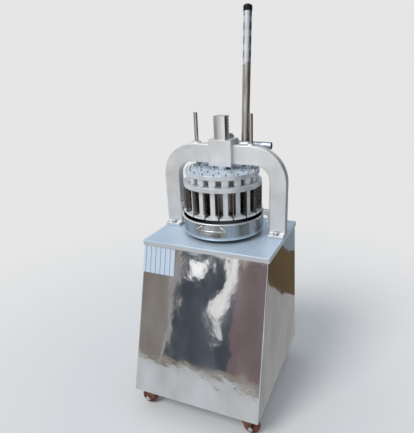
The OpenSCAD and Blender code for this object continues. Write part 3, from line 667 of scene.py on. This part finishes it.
# The direction across the tube as the camera sees it, and the span of the painted side stripes along it.
PAINTED_STRIPE_SIDEWAYS, PAINTED_STRIPE_SPAN = (0.938, 0.3455, -0.0299), (-0.0042, 0.0199)
FIRST_TURN, TURN_PITCH, TURN_SEAM = 0.005, 0.037, (0.015, 0.019)
across = node(pipe_steel, "VectorMath",
              {0: place(pipe_steel, centre=shaft_middle), 1: PAINTED_STRIPE_SIDEWAYS}, operation="DOT_PRODUCT")
# Painted shade and reflection: dark at both sides of the tube, with a faint line down the middle.
painted_side_stripes = colour_by(
    spread(across.outputs["Value"], 0, 1, *PAINTED_STRIPE_SPAN),
    (0.0, (1, 1, 1)), (0.10, (0.75, 0.75, 0.75)), (0.20, (0, 0, 0)), (0.38, (0, 0, 0)),
    (0.44, (0.4, 0.4, 0.4)), (0.50, (0, 0, 0)), (0.72, (0, 0, 0)), (0.82, (1, 1, 1)))
turn_run = maths("SUBTRACT", pipe_height, FIRST_TURN)
turns = spread(maths("MODULO", turn_run, TURN_PITCH), 0.15, 0.9, *TURN_SEAM)
film_and_painted_stripes = blend(maths("MULTIPLY", painted_side_stripes, turns), wrap, (0.10, 0.10, 0.11, 1))
put(pipe_steel, blend(wrapped, bare, film_and_painted_stripes), spread(wrapped, 0.28, 0.45, 0, 1),
    relief(grain(pipe_steel, 150, 4, (1, 1, 0.3)), 0.0003))
fit(lever, pipe_steel, "lever", "lever_steel", "lever_tube")


# The cap on the lever's end is black moulded plastic. It is pushed over the tube and has a
# domed top.
CAP_LENGTH, CAP_RADIUS = 0.019, 0.013
cap = turned("lever_end_cap", [(LEVER_LENGTH - down, radius) for down, radius in (
    (CAP_LENGTH, LEVER_RADIUS), (CAP_LENGTH, 0.0126), (CAP_LENGTH - 0.0005, CAP_RADIUS),
    (0.0058, CAP_RADIUS), (0.0046, 0.0122), (0.0034, 0.0106), (0.0022, 0.0086), (0.0011, 0.0061),
    (0.0003, 0.0032), (0.0001, 0.001))], 48)
cap.data.transform(on_lever)
smooth(cap, 40)

black_plastic = finish("black_plastic", (0.012, 0.011, 0.014), 0.0, 0.42)
black_plastic.node_tree.nodes["Principled BSDF"].inputs["Specular IOR Level"].default_value = 0.2
wear(black_plastic, (220, 4), ((0.008, 0.007, 0.010), (0.018, 0.017, 0.021)), (0.34, 0.52),
     0.00005, bumps=(1200, 2), rub=(90,))
fit(cap, black_plastic, "lever", "black_cap", "lever_cap")


# The column is a square steel bar with twelve tooth gaps milled across its rear face. It slides
# in the boss, and one bolt from below holds the knife plate to it.
COLUMN_LOW, COLUMN_TOP = TABLE_Z + 0.168, TABLE_Z + 0.355
COLUMN_BACK = COLUMN_Y + COLUMN_HALF
TOOTH_PITCH, TOOTH_DEPTH = math.pi * 0.003, 0.00675
GAP_ROOT_HALF, GAP_OUTER_HALF = 0.001116, 0.00397
column = block("toothed_column", (-COLUMN_HALF, COLUMN_Y - COLUMN_HALF, COLUMN_LOW),
               (COLUMN_HALF, COLUMN_BACK, COLUMN_TOP))
round_edges(column, 0.0012, 2, lambda e: along(e).z > 0.9)
first_gap = SHAFT_Z - 2.5 * TOOTH_PITCH
gap = block("gap", (-0.025, COLUMN_BACK - TOOTH_DEPTH, first_gap - GAP_ROOT_HALF),
            (0.025, COLUMN_BACK + 0.001, first_gap + GAP_ROOT_HALF))
pick(gap, "FACE", lambda f: f.normal.y > 0.9)
bpy.ops.transform.resize(value=(1, 1, GAP_OUTER_HALF / GAP_ROOT_HALF))
modify(gap, "ARRAY", count=12, use_relative_offset=False, use_constant_offset=True,
       constant_offset_displace=(0, 0, TOOTH_PITCH))
cut(column, gap)
soften(column, 0.0003, 1)

column_steel = finish("column_steel", (0.74, 0.74, 0.75), 1.0, 0.33)
wear(column_steel, (260, 3, (1, 1, 0.03)), ((0.50, 0.50, 0.51), (0.82, 0.82, 0.825)), (0.24, 0.42),
     0.00006, stops=(0.32, 0.62))
fit(column, column_steel, "knife_head", "machined_steel", "rack_column")
refinish("rack_bolt", zinc)


# The knife plate is the lower disc of the head, turned from cast aluminium, with a window for
# the post of every block. All knives hang under it. The upper disc has the same finish.
HEAD_Y, HEAD_TURN, WINDOW_PLAY = 0.051, -3.5, 0.0005
KNIFE_LOW, KNIFE_HIGH, KNIFE_PLATE_RADIUS = TABLE_Z + 0.1535, TABLE_Z + 0.168, 0.1197
PRESS_LOW, PRESS_HIGH, PRESS_RADIUS = TABLE_Z + 0.188, TABLE_Z + 0.201, 0.113
Ring = namedtuple("Ring", "count post inside outside deep wide half")
RINGS = {
    "outer": Ring(18, post=0.102, inside=0.0883, outside=0.122, deep=0.012, wide=0.014, half=8.9),
    "middle": Ring(12, post=0.0695, inside=0.0518, outside=0.0843, deep=0.012, wide=0.013, half=13.3),
    "inner": Ring(6, post=0.033, inside=0.012, outside=0.0478, deep=0.010, wide=0.012, half=25.0),
}
on_head = at(0, HEAD_Y, 0)


def round_places(count, first_degrees):
    """Places round the head's axis, for a piece modelled out along X from the axis."""
    return [on_head @ Matrix.Rotation(math.radians(HEAD_TURN + first_degrees + k * 360 / count), 4, "Z")
            for k in range(count)]


def block_places(ring):
    return round_places(ring.count, -90 + 180 / ring.count)


def plate_disc(name, low, high, radius):
    """A turned disc with its two edges broken, on the head's axis."""
    disc = turned(name, [(low, radius - 0.0008), (low + 0.0008, radius), (high - 0.0010, radius),
                         (high, radius - 0.0010)], 128)
    disc.data.transform(on_head)
    return disc


knife_plate = plate_disc("knife_disc", KNIFE_LOW, KNIFE_HIGH, KNIFE_PLATE_RADIUS)
for ring in RINGS.values():
    deep, wide = ring.deep / 2 + WINDOW_PLAY, ring.wide / 2 + WINDOW_PLAY
    window = block("window", (ring.post - deep, -wide, KNIFE_LOW - 0.005),
                   (ring.post + deep, wide, KNIFE_HIGH + 0.005))
    cut(knife_plate, copies("windows", window, block_places(ring)))
smooth(knife_plate, 30)


def distance_from(material, centre=(0, 0, 0), stretch=(1, 1, 1)):
    """How far each point lies from a centre, or from an axis where the stretch is 0."""
    points = place(material, stretch, centre)
    return node(material, "VectorMath", {0: points}, operation="LENGTH").outputs["Value"]


head_metal = finish("head_metal", (0.70, 0.73, 0.76), 0.55, 0.42)
head_clouds = grain(head_metal, 45)
from_axis = distance_from(head_metal, (0, HEAD_Y, 0), (1, 1, 0))
turning = node(head_metal, "TexNoise", {"W": from_axis, "Scale": 900.0, "Detail": 2.0},
               noise_dimensions="1D").outputs["Fac"]
cast_sides = colour_by(head_clouds, (0.3, (0.62, 0.65, 0.68)), (0.7, (0.73, 0.75, 0.77)))
# The faced top of the press plate is tinted pale blue, a painted reflection of the bluish surround above it.
faced_top_painted_sky = colour_by(head_clouds, (0.3, (0.50, 0.60, 0.70)), (0.7, (0.62, 0.72, 0.81)))
faced = spread(distance_along(head_metal, "Z"), 0, 1, PRESS_HIGH - 0.0008, PRESS_HIGH - 0.0002)
turned_bumps = relief(turning, 0.00005)
put(head_metal, blend(faced, cast_sides, faced_top_painted_sky), spread(head_clouds, 0.34, 0.5),
    relief(grain(head_metal, 800, 2), 0.00004, turned_bumps))
fit(knife_plate, head_metal, "knife_head", "block_casting", "knife_plate")


# The knives are stainless strip set on edge: short radial ones between the blocks of each ring,
# and two hoops between the rings. Each is ground thinner towards its lower edge.
BLADE_LOW, BLADE_HALF = TABLE_Z + 0.0745, 0.001
GRIND_HIGH, EDGE_HALF = BLADE_LOW + 0.004, 0.0003
# The knife steel is coloured dark, a painted shade for the dim space under the head.
shaded_blade_steel = finish("shaded_blade_steel", (0.24, 0.22, 0.21), 1.0, 0.25)
blade_lines = (500, 2, (0.1, 0.1, 1))
wear(shaded_blade_steel, (60, 3, (1, 1, 0.1)), ((0.12, 0.13, 0.125), (0.36, 0.31, 0.29)), (0.18, 0.34),
     0.00003, bumps=blade_lines, rub=blade_lines, stops=(0.35, 0.65))


def draw_out(rise, widen=1):
    """The picked face is drawn out along Z, and then made wider or narrower across."""
    bpy.ops.mesh.extrude_region_move(TRANSFORM_OT_translate={"value": (0, 0, rise)})
    bpy.ops.transform.resize(value=(1, widen, 1))


for node_name, count, start, end in (
    ("outer_radial_knives", 18, 0.0873, 0.1213),
    ("middle_radial_knives", 12, 0.0508, 0.0853),
):
    blade = block("blade", (start, -BLADE_HALF, BLADE_LOW), (end, BLADE_HALF, KNIFE_LOW))
    pick_level(blade, -1)
    draw_out(0, EDGE_HALF / BLADE_HALF)
    mode("OBJECT")
    outward(blade)
    blades = copies(node_name.replace("knives", "blades"), blade, round_places(count, -90))
    fit(blades, shaded_blade_steel, "knife_head", "knife_steel", node_name)
for node_name, radius in (("large_ring_knife", 0.0863), ("small_ring_knife", 0.0498)):
    hoop = turned(node_name.replace("knife", "hoop"), [
        (KNIFE_LOW, radius + BLADE_HALF), (GRIND_HIGH, radius + BLADE_HALF), (BLADE_LOW, radius + EDGE_HALF),
        (BLADE_LOW, radius - EDGE_HALF), (GRIND_HIGH, radius - BLADE_HALF), (KNIFE_LOW, radius - BLADE_HALF),
        (KNIFE_LOW, radius + BLADE_HALF)], 96, hollow=True)
    hoop.data.transform(on_head)
    smooth(hoop)
    fit(hoop, shaded_blade_steel, "knife_head", "knife_steel", node_name)
refinish("inner_radial_knives", shaded_blade_steel)


# The press plate is the upper disc. The column and the two guide rods go through it, and it
# carries all thirty six blocks.
press_plate = plate_disc("press_disc", PRESS_LOW, PRESS_HIGH, PRESS_RADIUS)
way_half = COLUMN_HALF + WINDOW_PLAY
cut(press_plate, block("column_way", (-way_half, COLUMN_Y - way_half, PRESS_LOW - CLEAR),
                       (way_half, COLUMN_Y + way_half, PRESS_HIGH + CLEAR)))
smooth(press_plate, 30)
fit(press_plate, head_metal, "press_head", "block_casting", "press_plate")


# A block is a sector shaped foot that presses the dough, with a post flared at its root and
# a little wider above the knife plate. It is one casting, linished on its faces.
FOOT_LOW, FOOT_THICK = TABLE_Z + 0.0738, 0.006
ROOT_HIGH, ROOT_EXTRA, SHOULDER_HIGH, SHOULDER_EXTRA = 0.005, 0.015, 0.0012, 0.006


def press_block(name, ring):
    """One block out along X from the head's axis. Its foot is spun clockwise from one side."""
    half = math.radians(ring.half)
    clear()
    bpy.ops.mesh.primitive_plane_add(size=1, rotation=(math.pi / 2, 0, 0))
    bpy.context.object.scale = (ring.outside - ring.inside, FOOT_THICK, 1)
    bpy.context.object.location = ((ring.outside + ring.inside) / 2, 0, FOOT_LOW + FOOT_THICK / 2)
    foot = named("foot")
    foot.data.transform(Matrix.Rotation(half, 4, "Z"))
    edit_all(foot)
    bpy.ops.mesh.spin(steps=10, angle=2 * half, axis=(0, 0, 1))
    mode("OBJECT")
    outward(foot)
    soften(foot, 0.0007, 2, 50)
    wide = ring.wide + ROOT_EXTRA
    low = FOOT_LOW + FOOT_THICK - 0.0005
    shoulder = KNIFE_HIGH + 0.0005
    post = block("post", (ring.post - ring.deep / 2, -wide / 2, low),
                 (ring.post + ring.deep / 2, wide / 2, low + ROOT_HIGH))
    pick_level(post, 1)
    bpy.ops.transform.resize(value=(1, ring.wide / wide, 1))
    draw_out(shoulder - low - ROOT_HIGH)
    draw_out(SHOULDER_HIGH, (ring.wide + SHOULDER_EXTRA) / ring.wide)
    draw_out(PRESS_LOW - shoulder - SHOULDER_HIGH)
    mode("OBJECT")
    soften(post, 0.0006, 2, 50)
    return joined(name, [foot, post])


block_metal = finish("block_metal", (0.80, 0.81, 0.82), 0.3, 0.4)
linish = (420, 2, (1, 1, 0.06))
wear(block_metal, (60, 4), ((0.71, 0.72, 0.73), (0.81, 0.82, 0.83)), (0.32, 0.48),
     0.00004, bumps=linish, rub=linish)
for name, ring in RINGS.items():
    blocks = copies(name + "_blocks", press_block("block", ring), block_places(ring))
    fit(blocks, block_metal, "press_head", "block_casting", name + "_press_blocks")

bolt_places = [where @ at(ring.post, 0, PRESS_HIGH, k * 0.7)
               for ring in RINGS.values() for k, where in enumerate(block_places(ring))]
fasten("top_bolts", hex_head("top_bolt", 0.0103, 0.0045, 0.0008), bolt_places, "press_head", "block_bolts")


# Two ground rods stand on the press plate and slide in the arch. Each is shouldered on the plate
# and held by a nut below it.
ROD_TOP, STUD_LOW, STUD_RADIUS = TABLE_Z + 0.3617, TABLE_Z + 0.176, 0.0045
rod = turned("guide_bars", [
    (STUD_LOW, STUD_RADIUS - 0.0006), (STUD_LOW + 0.0006, STUD_RADIUS), (PRESS_HIGH, STUD_RADIUS),
    (PRESS_HIGH, ROD_RADIUS), (ROD_TOP - 0.0010, ROD_RADIUS), (ROD_TOP, ROD_RADIUS - 0.0010)], 40)
rods = copies("guide_bars", rod, [at(x, ROD_Y, 0) for x in (-ROD_X, ROD_X)])
smooth(rods)
rod_steel = finish("rod_steel", (0.43, 0.40, 0.375), 1.0, 0.10)
wear(rod_steel, (1200, 2, (0.05, 0.05, 1)), ((0.37, 0.345, 0.32), (0.49, 0.46, 0.43)), (0.06, 0.14), 0.00001)
fit(rods, rod_steel, "press_head", "machined_steel", "guide_rods")
refinish("guide_rod_nuts", zinc)


# The pan is spun from stainless sheet and polished, with a rolled rim, a rounded bottom edge
# and a foot ring. Its colour carries painted reflections in patches on the wall and of the table
# lid round the foot, a painted highlight along the rim, and painted shade, near black, inside.
# It lies loose on the table under the two lugs.
PAN_Z = TABLE_Z + 0.0001
RIM_HIGHLIGHT_BAND, LID_REFLECTION_BAND, INNER_SHADE_EDGE = (0.0585, 0.0592), (0.016, 0.024), (0.1233, 0.1237)
pan = turned("round_pan", [(PAN_Z + height, radius) for height, radius in (
    (0.018, 0.0930), (0.0004, 0.0930), (0.0, 0.0934), (0.0, 0.0956), (0.0004, 0.0960), (0.018, 0.0960),
    (0.018, 0.1170), (0.0095, 0.1170), (0.0090, 0.1175), (0.0090, 0.1190), (0.0094, 0.1206), (0.0104, 0.1222),
    (0.0116, 0.1235), (0.0132, 0.1246), (0.0150, 0.1253), (0.0170, 0.1255), (0.058, 0.1255),
    (0.0590, 0.1262), (0.0596, 0.1275), (0.0606, 0.1283), (0.0620, 0.1286), (0.0633, 0.1281),
    (0.0641, 0.1268), (0.0642, 0.1250), (0.0639, 0.1237), (0.0630, 0.1230), (0.0250, 0.1230),
    (0.0234, 0.1226), (0.0220, 0.1216), (0.0213, 0.1204), (0.0210, 0.1190))], 144)
pan.data.transform(on_head)
smooth(pan, 40)

spun_steel = finish("spun_steel", (0.62, 0.63, 0.65), 1.0, 0.12)
pan_smears = grain(spun_steel, 30, 5)
spin_lines = grain(spun_steel, 700, 2, (0.03, 0.03, 1))
# Brown and grey patches on the polished wall are painted reflections.
painted_wall_reflections = colour_by(
    grain(spun_steel, 26, 3, (1, 1, 0.12)),
    (0.36, (0.24, 0.22, 0.18)), (0.48, (0.42, 0.41, 0.385)),
    (0.56, (0.46, 0.475, 0.49)), (0.66, (0.64, 0.62, 0.58)))
pan_height = distance_along(spun_steel, "Z", (0, 0, PAN_Z))
# A painted highlight runs along the rim; the same band is made rougher.
rim_highlight = spread(pan_height, 0, 1, *RIM_HIGHLIGHT_BAND)
# A pale blue-grey painted reflection of the table lid lies round the foot of the wall.
painted_lid_reflection = spread(pan_height, 1, 0, *LID_REFLECTION_BAND)
for band, bright in ((rim_highlight, (0.90, 0.91, 0.92, 1)), (painted_lid_reflection, (0.80, 0.86, 0.92, 1))):
    painted_wall_reflections = blend(band, painted_wall_reflections, bright)
# The inside of the pan is painted near black, as shade.
painted_inner_shade = colour_by(pan_smears, (0.3, (0.010, 0.011, 0.013)), (0.7, (0.030, 0.031, 0.034)))
inside = spread(distance_from(spun_steel, (0, HEAD_Y, 0), (1, 1, 0)), 1, 0, *INNER_SHADE_EDGE)
rim_brush = spread(rim_highlight, 0, 0.45, 0, 1)
pan_gloss = spread(pan_smears, 0.14, 0.28)
pan_dents = relief(grain(spun_steel, 18, 2), 0.0012)
put(spun_steel, blend(inside, painted_wall_reflections, painted_inner_shade),
    maths("MAXIMUM", rim_brush, pan_gloss), relief(spin_lines, 0.00003, pan_dents))
fit(pan, spun_steel, "pan", "pan_steel", "dough_pan")


# The loop handle on the pan's front is one bent rod, welded on at both ends. Its arms spread
# outwards and down, and the bar between them follows the wall. The pan stands turned a little.
HANDLE_TURN, HANDLE_RADIUS = 6.5, 0.003
ARM_ANGLE, BAR_ANGLE, BAR_OUT, BAR_Z = 12.14, 18.0, 0.1383, TABLE_Z + 0.0462
bar_points = [(BAR_ANGLE * (1 - k / 6), BAR_OUT, BAR_Z) for k in range(7)]
right_half = [
    (ARM_ANGLE, 0.1278, TABLE_Z + 0.0560), (13.4, 0.1300, TABLE_Z + 0.0541), (17.2, 0.1355, TABLE_Z + 0.0491),
    (18.5, 0.1373, TABLE_Z + 0.0474), (18.8, 0.1380, TABLE_Z + 0.0466), *bar_points]
left_half = [(-angle, out, height) for angle, out, height in reversed(right_half[:-1])]
handle_points = []
for angle, out, height in right_half + left_half:
    around = math.radians(angle + HANDLE_TURN)
    handle_points.append((out * math.sin(around), HEAD_Y - out * math.cos(around), height))
bend = bpy.data.curves.new("loop_handle", "CURVE")
bend.dimensions = "3D"
bend.bevel_depth = HANDLE_RADIUS
bend.bevel_resolution = 5
bend.use_fill_caps = True
run = bend.splines.new("POLY")
run.points.add(len(handle_points) - 1)
for point, co in zip(run.points, handle_points):
    point.co = (*co, 1)
handle = bpy.data.objects.new("loop_handle", bend)
scene.collection.objects.link(handle)
take(handle)
bpy.ops.object.convert(target="MESH")
handle = bpy.context.object
outward(handle)
smooth(handle, 60)
fit(handle, spun_steel, "pan", "pan_steel", "pan_handle")


# Each caster has a top plate with four bolts, a fork pressed from sheet that swivels under it,
# both passivated a dark brown, and a dark red plastic wheel on an axle bolt.
CASTER_X, CASTER_Y, TRAIL = 0.161, 0.188, 0.015
PLATE_LOW, PLATE_HALF, PLATE_BOLT = 0.070, 0.028, 0.020
FORK_REAR, FORK_FRONT, FORK_IN, FORK_OUT = -0.015, 0.017, 0.012, 0.015
CROWN_LOW, CROWN_HIGH, LEG_BEND = 0.058, 0.061, 0.046
WHEEL_RADIUS, WHEEL_HALF, AXLE_RADIUS, AXLE_HALF = 0.025, 0.010, 0.0038, 0.0155
CORNERS = {"fl": (-1, -1, -1), "fr": (1, -1, 1), "rl": (-1, 1, 1), "rr": (1, 1, -1)}

corner_places = {corner: at(x * CASTER_X, y * CASTER_Y, 0) for corner, (x, y, _) in CORNERS.items()}
plate = block("plate", (-PLATE_HALF, -PLATE_HALF, PLATE_LOW), (PLATE_HALF, PLATE_HALF, PLATE_LOW + 0.003))
round_edges(plate, 0.006, 5, lambda e: along(e).z > 0.9)
soften(plate, 0.0005)
race = turned("race", [(0.064, 0.0155), (0.0655, 0.017), (0.0685, 0.017), (0.0702, 0.0150)], 48)
smooth(race)
plate = joined("plate", [plate, race])
plates = copies("swivel_plates", plate, corner_places.values())
caster_zinc = finish("caster_zinc", (0.26, 0.12, 0.08), 1.0, 0.36)
wear(caster_zinc, (180, 4), ((0.16, 0.06, 0.045), (0.34, 0.17, 0.11)), (0.28, 0.5), 0.00005, bumps=(900, 2))
fit(plates, caster_zinc, "stand", "caster_steel", "caster_plates")

plate_bolt = hex_head("plate_bolt", 0.013, 0.005)
plate_bolt.data.transform(Matrix.Rotation(math.pi, 4, "X"))
plate_bolt_places = [where @ at(u * PLATE_BOLT, v * PLATE_BOLT, PLATE_LOW, 0.4 * u + 0.2 * v)
                     for where in corner_places.values() for u in (-1, 1) for v in (-1, 1)]
fasten("plate_bolts", plate_bolt, plate_bolt_places, "stand", "caster_bolts")

wheel_red = finish("wheel_red", (0.13, 0.022, 0.014), 0.0, 0.42)
wear(wheel_red, (120, 5), ((0.085, 0.016, 0.011), (0.16, 0.028, 0.018), (0.20, 0.10, 0.055)), (0.32, 0.6),
     0.0002, stops=(0.3, 0.6, 0.8))


def caster_fork(name):
    """A fork at the origin of its caster, with the axle out along +X."""
    crown = block(name, (FORK_REAR, -FORK_OUT, CROWN_LOW), (FORK_FRONT, FORK_OUT, CROWN_HIGH))
    legs = []
    for side in (-1, 1):
        low_y, high_y = sorted((side * FORK_IN, side * FORK_OUT))
        leg = block("leg", (FORK_REAR, low_y, LEG_BEND), (FORK_FRONT, high_y, CROWN_HIGH - 0.001))
        pick_level(leg, -1)
        bpy.ops.mesh.extrude_region_move(TRANSFORM_OT_translate={"value": (0.010, 0, -0.0285)})
        bpy.ops.transform.resize(value=(0.45, 1, 1))
        round_edges(leg, 0.0055, 5, lambda e: along(e).y > 0.9 and middle_of(e).z < 0.03)
        legs.append(leg)
    race = turned("race", [(0.0575, 0.0165), (0.0590, 0.0170), (0.0625, 0.0170), (0.0637, 0.0158)], 48)
    for part in [crown] + legs:
        soften(part, 0.0006)
    smooth(race)
    return joined(name, [crown, race] + legs)


def caster_wheel(name):
    """A wheel along the Z axis with a rounded tread, sunk sides and a hub."""
    r, w = WHEEL_RADIUS, WHEEL_HALF
    near = [(w + 0.0012, 0.0041), (w + 0.0015, 0.0050), (w + 0.0015, 0.0085), (w + 0.0008, 0.0090),
            (w - 0.0025, 0.0100), (w - 0.0028, 0.0165), (w - 0.0005, 0.0180), (w, 0.0190),
            (w - 0.0005, 0.0215), (w - 0.0020, 0.0238), (w - 0.0045, r)]
    far = [(-height, radius) for height, radius in reversed(near)]
    return turned(name, near + far + near[:1], hollow=True)


for corner, (x, y, way) in CORNERS.items():
    on_axle = at(x * CASTER_X + way * TRAIL, y * CASTER_Y, WHEEL_RADIUS, -math.pi / 2, "X")
    fork = caster_fork("fork_" + corner)
    fork.data.transform(corner_places[corner] @ Matrix.Diagonal((way, 1, 1, 1)))
    outward(fork)
    smooth(fork)
    fit(fork, caster_zinc, "fork_" + corner, "caster_steel", "caster_fork_" + corner)
    wheel = caster_wheel("wheel_" + corner)
    wheel.data.transform(on_axle)
    smooth(wheel)
    fit(wheel, wheel_red, "wheel_" + corner, "red_wheel", "caster_wheel_" + corner)
    bar = turned("bar", [(-AXLE_HALF, AXLE_RADIUS), (AXLE_HALF, AXLE_RADIUS)], 32)
    smooth(bar)
    heads = copies("heads", hex_head("head", 0.013, 0.005),
                   [at(0, 0, FORK_OUT), at(0, 0, -FORK_OUT, math.pi, "X")])
    axle = joined("axle_" + corner, [heads, bar])
    axle.data.transform(on_axle)
    fit(axle, zinc, "fork_" + corner, "fastener_steel", "caster_axle_" + corner)


# Plain soft studio light: an even pale surround, one broad lamp from the front left, and a
# pale floor that keeps the shadow under the machine.
scene.view_settings.view_transform = "Standard"
BACKGROUND = (0.79, 0.79, 0.79, 1)


def give_out(owner, output, shader):
    """The shader becomes what a material or the world shows."""
    tree = owner.node_tree
    tree.links.new(shader.outputs[0], tree.nodes[output].inputs["Surface"])


studio = bpy.data.worlds.new("studio")
scene.world = studio
studio.use_nodes = True
surround = studio.node_tree.nodes["Background"]
surround.inputs["Color"].default_value = (0.80, 0.86, 0.92, 1)
surround.inputs["Strength"].default_value = 0.65
pale = node(studio, "Background", {"Color": BACKGROUND})
camera_ray = node(studio, "LightPath").outputs["Is Camera Ray"]
both = node(studio, "MixShader", {0: camera_ray, 1: surround.outputs[0], 2: pale.outputs[0]})
give_out(studio, "World Output", both)

sun = bpy.data.lights.new("broad_lamp", "SUN")
sun.energy = 1.42
sun.angle = math.radians(25)
lamp = bpy.data.objects.new("broad_lamp", sun)
lamp.rotation_euler = (math.radians(42), 0, math.radians(-28))
scene.collection.objects.link(lamp)


# Matt cards stand round the machine, as they do for polished metal, so that the mirror sheet shows
# soft dark fields with bright edges. Only reflections see them. Each has a name, its low and high
# corner, how far its upper edge is moved sideways, and its colour.
CARDS = (
    ("left_card", (-0.95, -0.80, 0.025), (-0.47, -0.80, 0.56), 0, (0.30, 0.275, 0.25)),
    ("edge_card", (-0.48, -0.79, 0.025), (-0.455, -0.79, 0.56), 0, (0.62, 0.60, 0.58)),
    ("middle_card", (-0.47, -0.80, 0.04), (-0.05, -0.80, 0.56), 0, (0.085, 0.10, 0.125)),
    ("right_card", (-0.05, -0.80, 0.055), (0.25, -0.80, 0.56), 0, (0.235, 0.18, 0.19)),
    ("low_card", (-0.95, -0.805, 0.0), (0.25, -0.805, 0.06), 0, (0.36, 0.33, 0.29)),
    ("left_flag", (-1.3, -0.80, 0.56), (-0.42, -0.80, 1.3), 0, (0.30, 0.31, 0.33)),
    ("right_glow", (-0.34, -0.80, 0.56), (0.3, -0.80, 1.3), 0, (1.10, 1.07, 1.04)),
    ("window_card", (-0.40, -0.785, 0.42), (-0.25, -0.785, 0.525), 0, (1.4, 1.4, 1.4)),
    ("upper_streak", (-0.13, -0.785, 0.42), (-0.05, -0.785, 0.56), 0, (1.1, 1.1, 1.1)),
    ("middle_streak", (-0.21, -0.785, 0.28), (-0.13, -0.785, 0.42), 0.08, (1.1, 1.1, 1.1)),
    ("lower_streak", (-0.15, -0.785, 0.18), (-0.10, -0.785, 0.28), -0.05, (0.9, 0.9, 0.9)),
    ("floor_card", (0.22, -0.3, 0.002), (1.3, 0.63, 0.002), 0, (0.36, 0.36, 0.36)),
    ("rug_card", (0.22, 0.63, 0.002), (1.6, 1.17, 0.002), 0, (0.12, 0.085, 0.05)),
    ("back_card", (0.22, 1.17, 0.002), (2.2, 3.4, 0.002), 0, (0.22, 0.26, 0.30)),
    ("side_card", (1.0, -0.6, 0.12), (1.0, 2.8, 2.2), 0, (0.05, 0.05, 0.055)),
    ("near_card", (0.55, 0.0, 0.45), (0.55, 1.7, 1.4), 0, (0.03, 0.03, 0.035)),
)
for name, low, high, lean, colour in CARDS:
    clear()
    bpy.ops.mesh.primitive_plane_add(size=1)
    card = bpy.context.object
    card.name = name
    across, up = [axis for axis in range(3) if high[axis] > low[axis]]
    for vertex in card.data.vertices:
        corner = list(low)
        corner[across] = high[across] if vertex.co.x > 0 else low[across]
        corner[up] = high[up] if vertex.co.y > 0 else low[up]
        corner[0] += lean if vertex.co.y > 0 else 0
        vertex.co = corner
    paper = bpy.data.materials.new(name)
    paper.use_nodes = True
    paper.node_tree.nodes.remove(paper.node_tree.nodes["Principled BSDF"])
    give_out(paper, "Material Output", node(paper, "Emission", {"Color": (*colour, 1)}))
    card.data.materials.append(paper)
    for ray in ("camera", "diffuse", "transmission", "shadow"):
        setattr(card, "visible_" + ray, False)


# The floor is one plain pale sheet. Away from the machine it fades to the even background that
# only the camera sees.
clear()
bpy.ops.mesh.primitive_plane_add(size=30)
floor = bpy.context.object
floor.name = "floor"
floor_paint = finish("floor_paint", (0.78, 0.78, 0.78), 0, 0.9)
fade = spread(distance_from(floor_paint), 0, 1, 0.5, 1.6)
camera_ray = node(floor_paint, "LightPath").outputs["Is Camera Ray"]
seen = maths("MULTIPLY", fade, camera_ray)
glow = node(floor_paint, "Emission", {"Color": BACKGROUND})
plain = floor_paint.node_tree.nodes["Principled BSDF"]
both = node(floor_paint, "MixShader", {0: seen, 1: plain.outputs[0], 2: glow.outputs[0]})
give_out(floor_paint, "Material Output", both)
floor.data.materials.append(floor_paint)
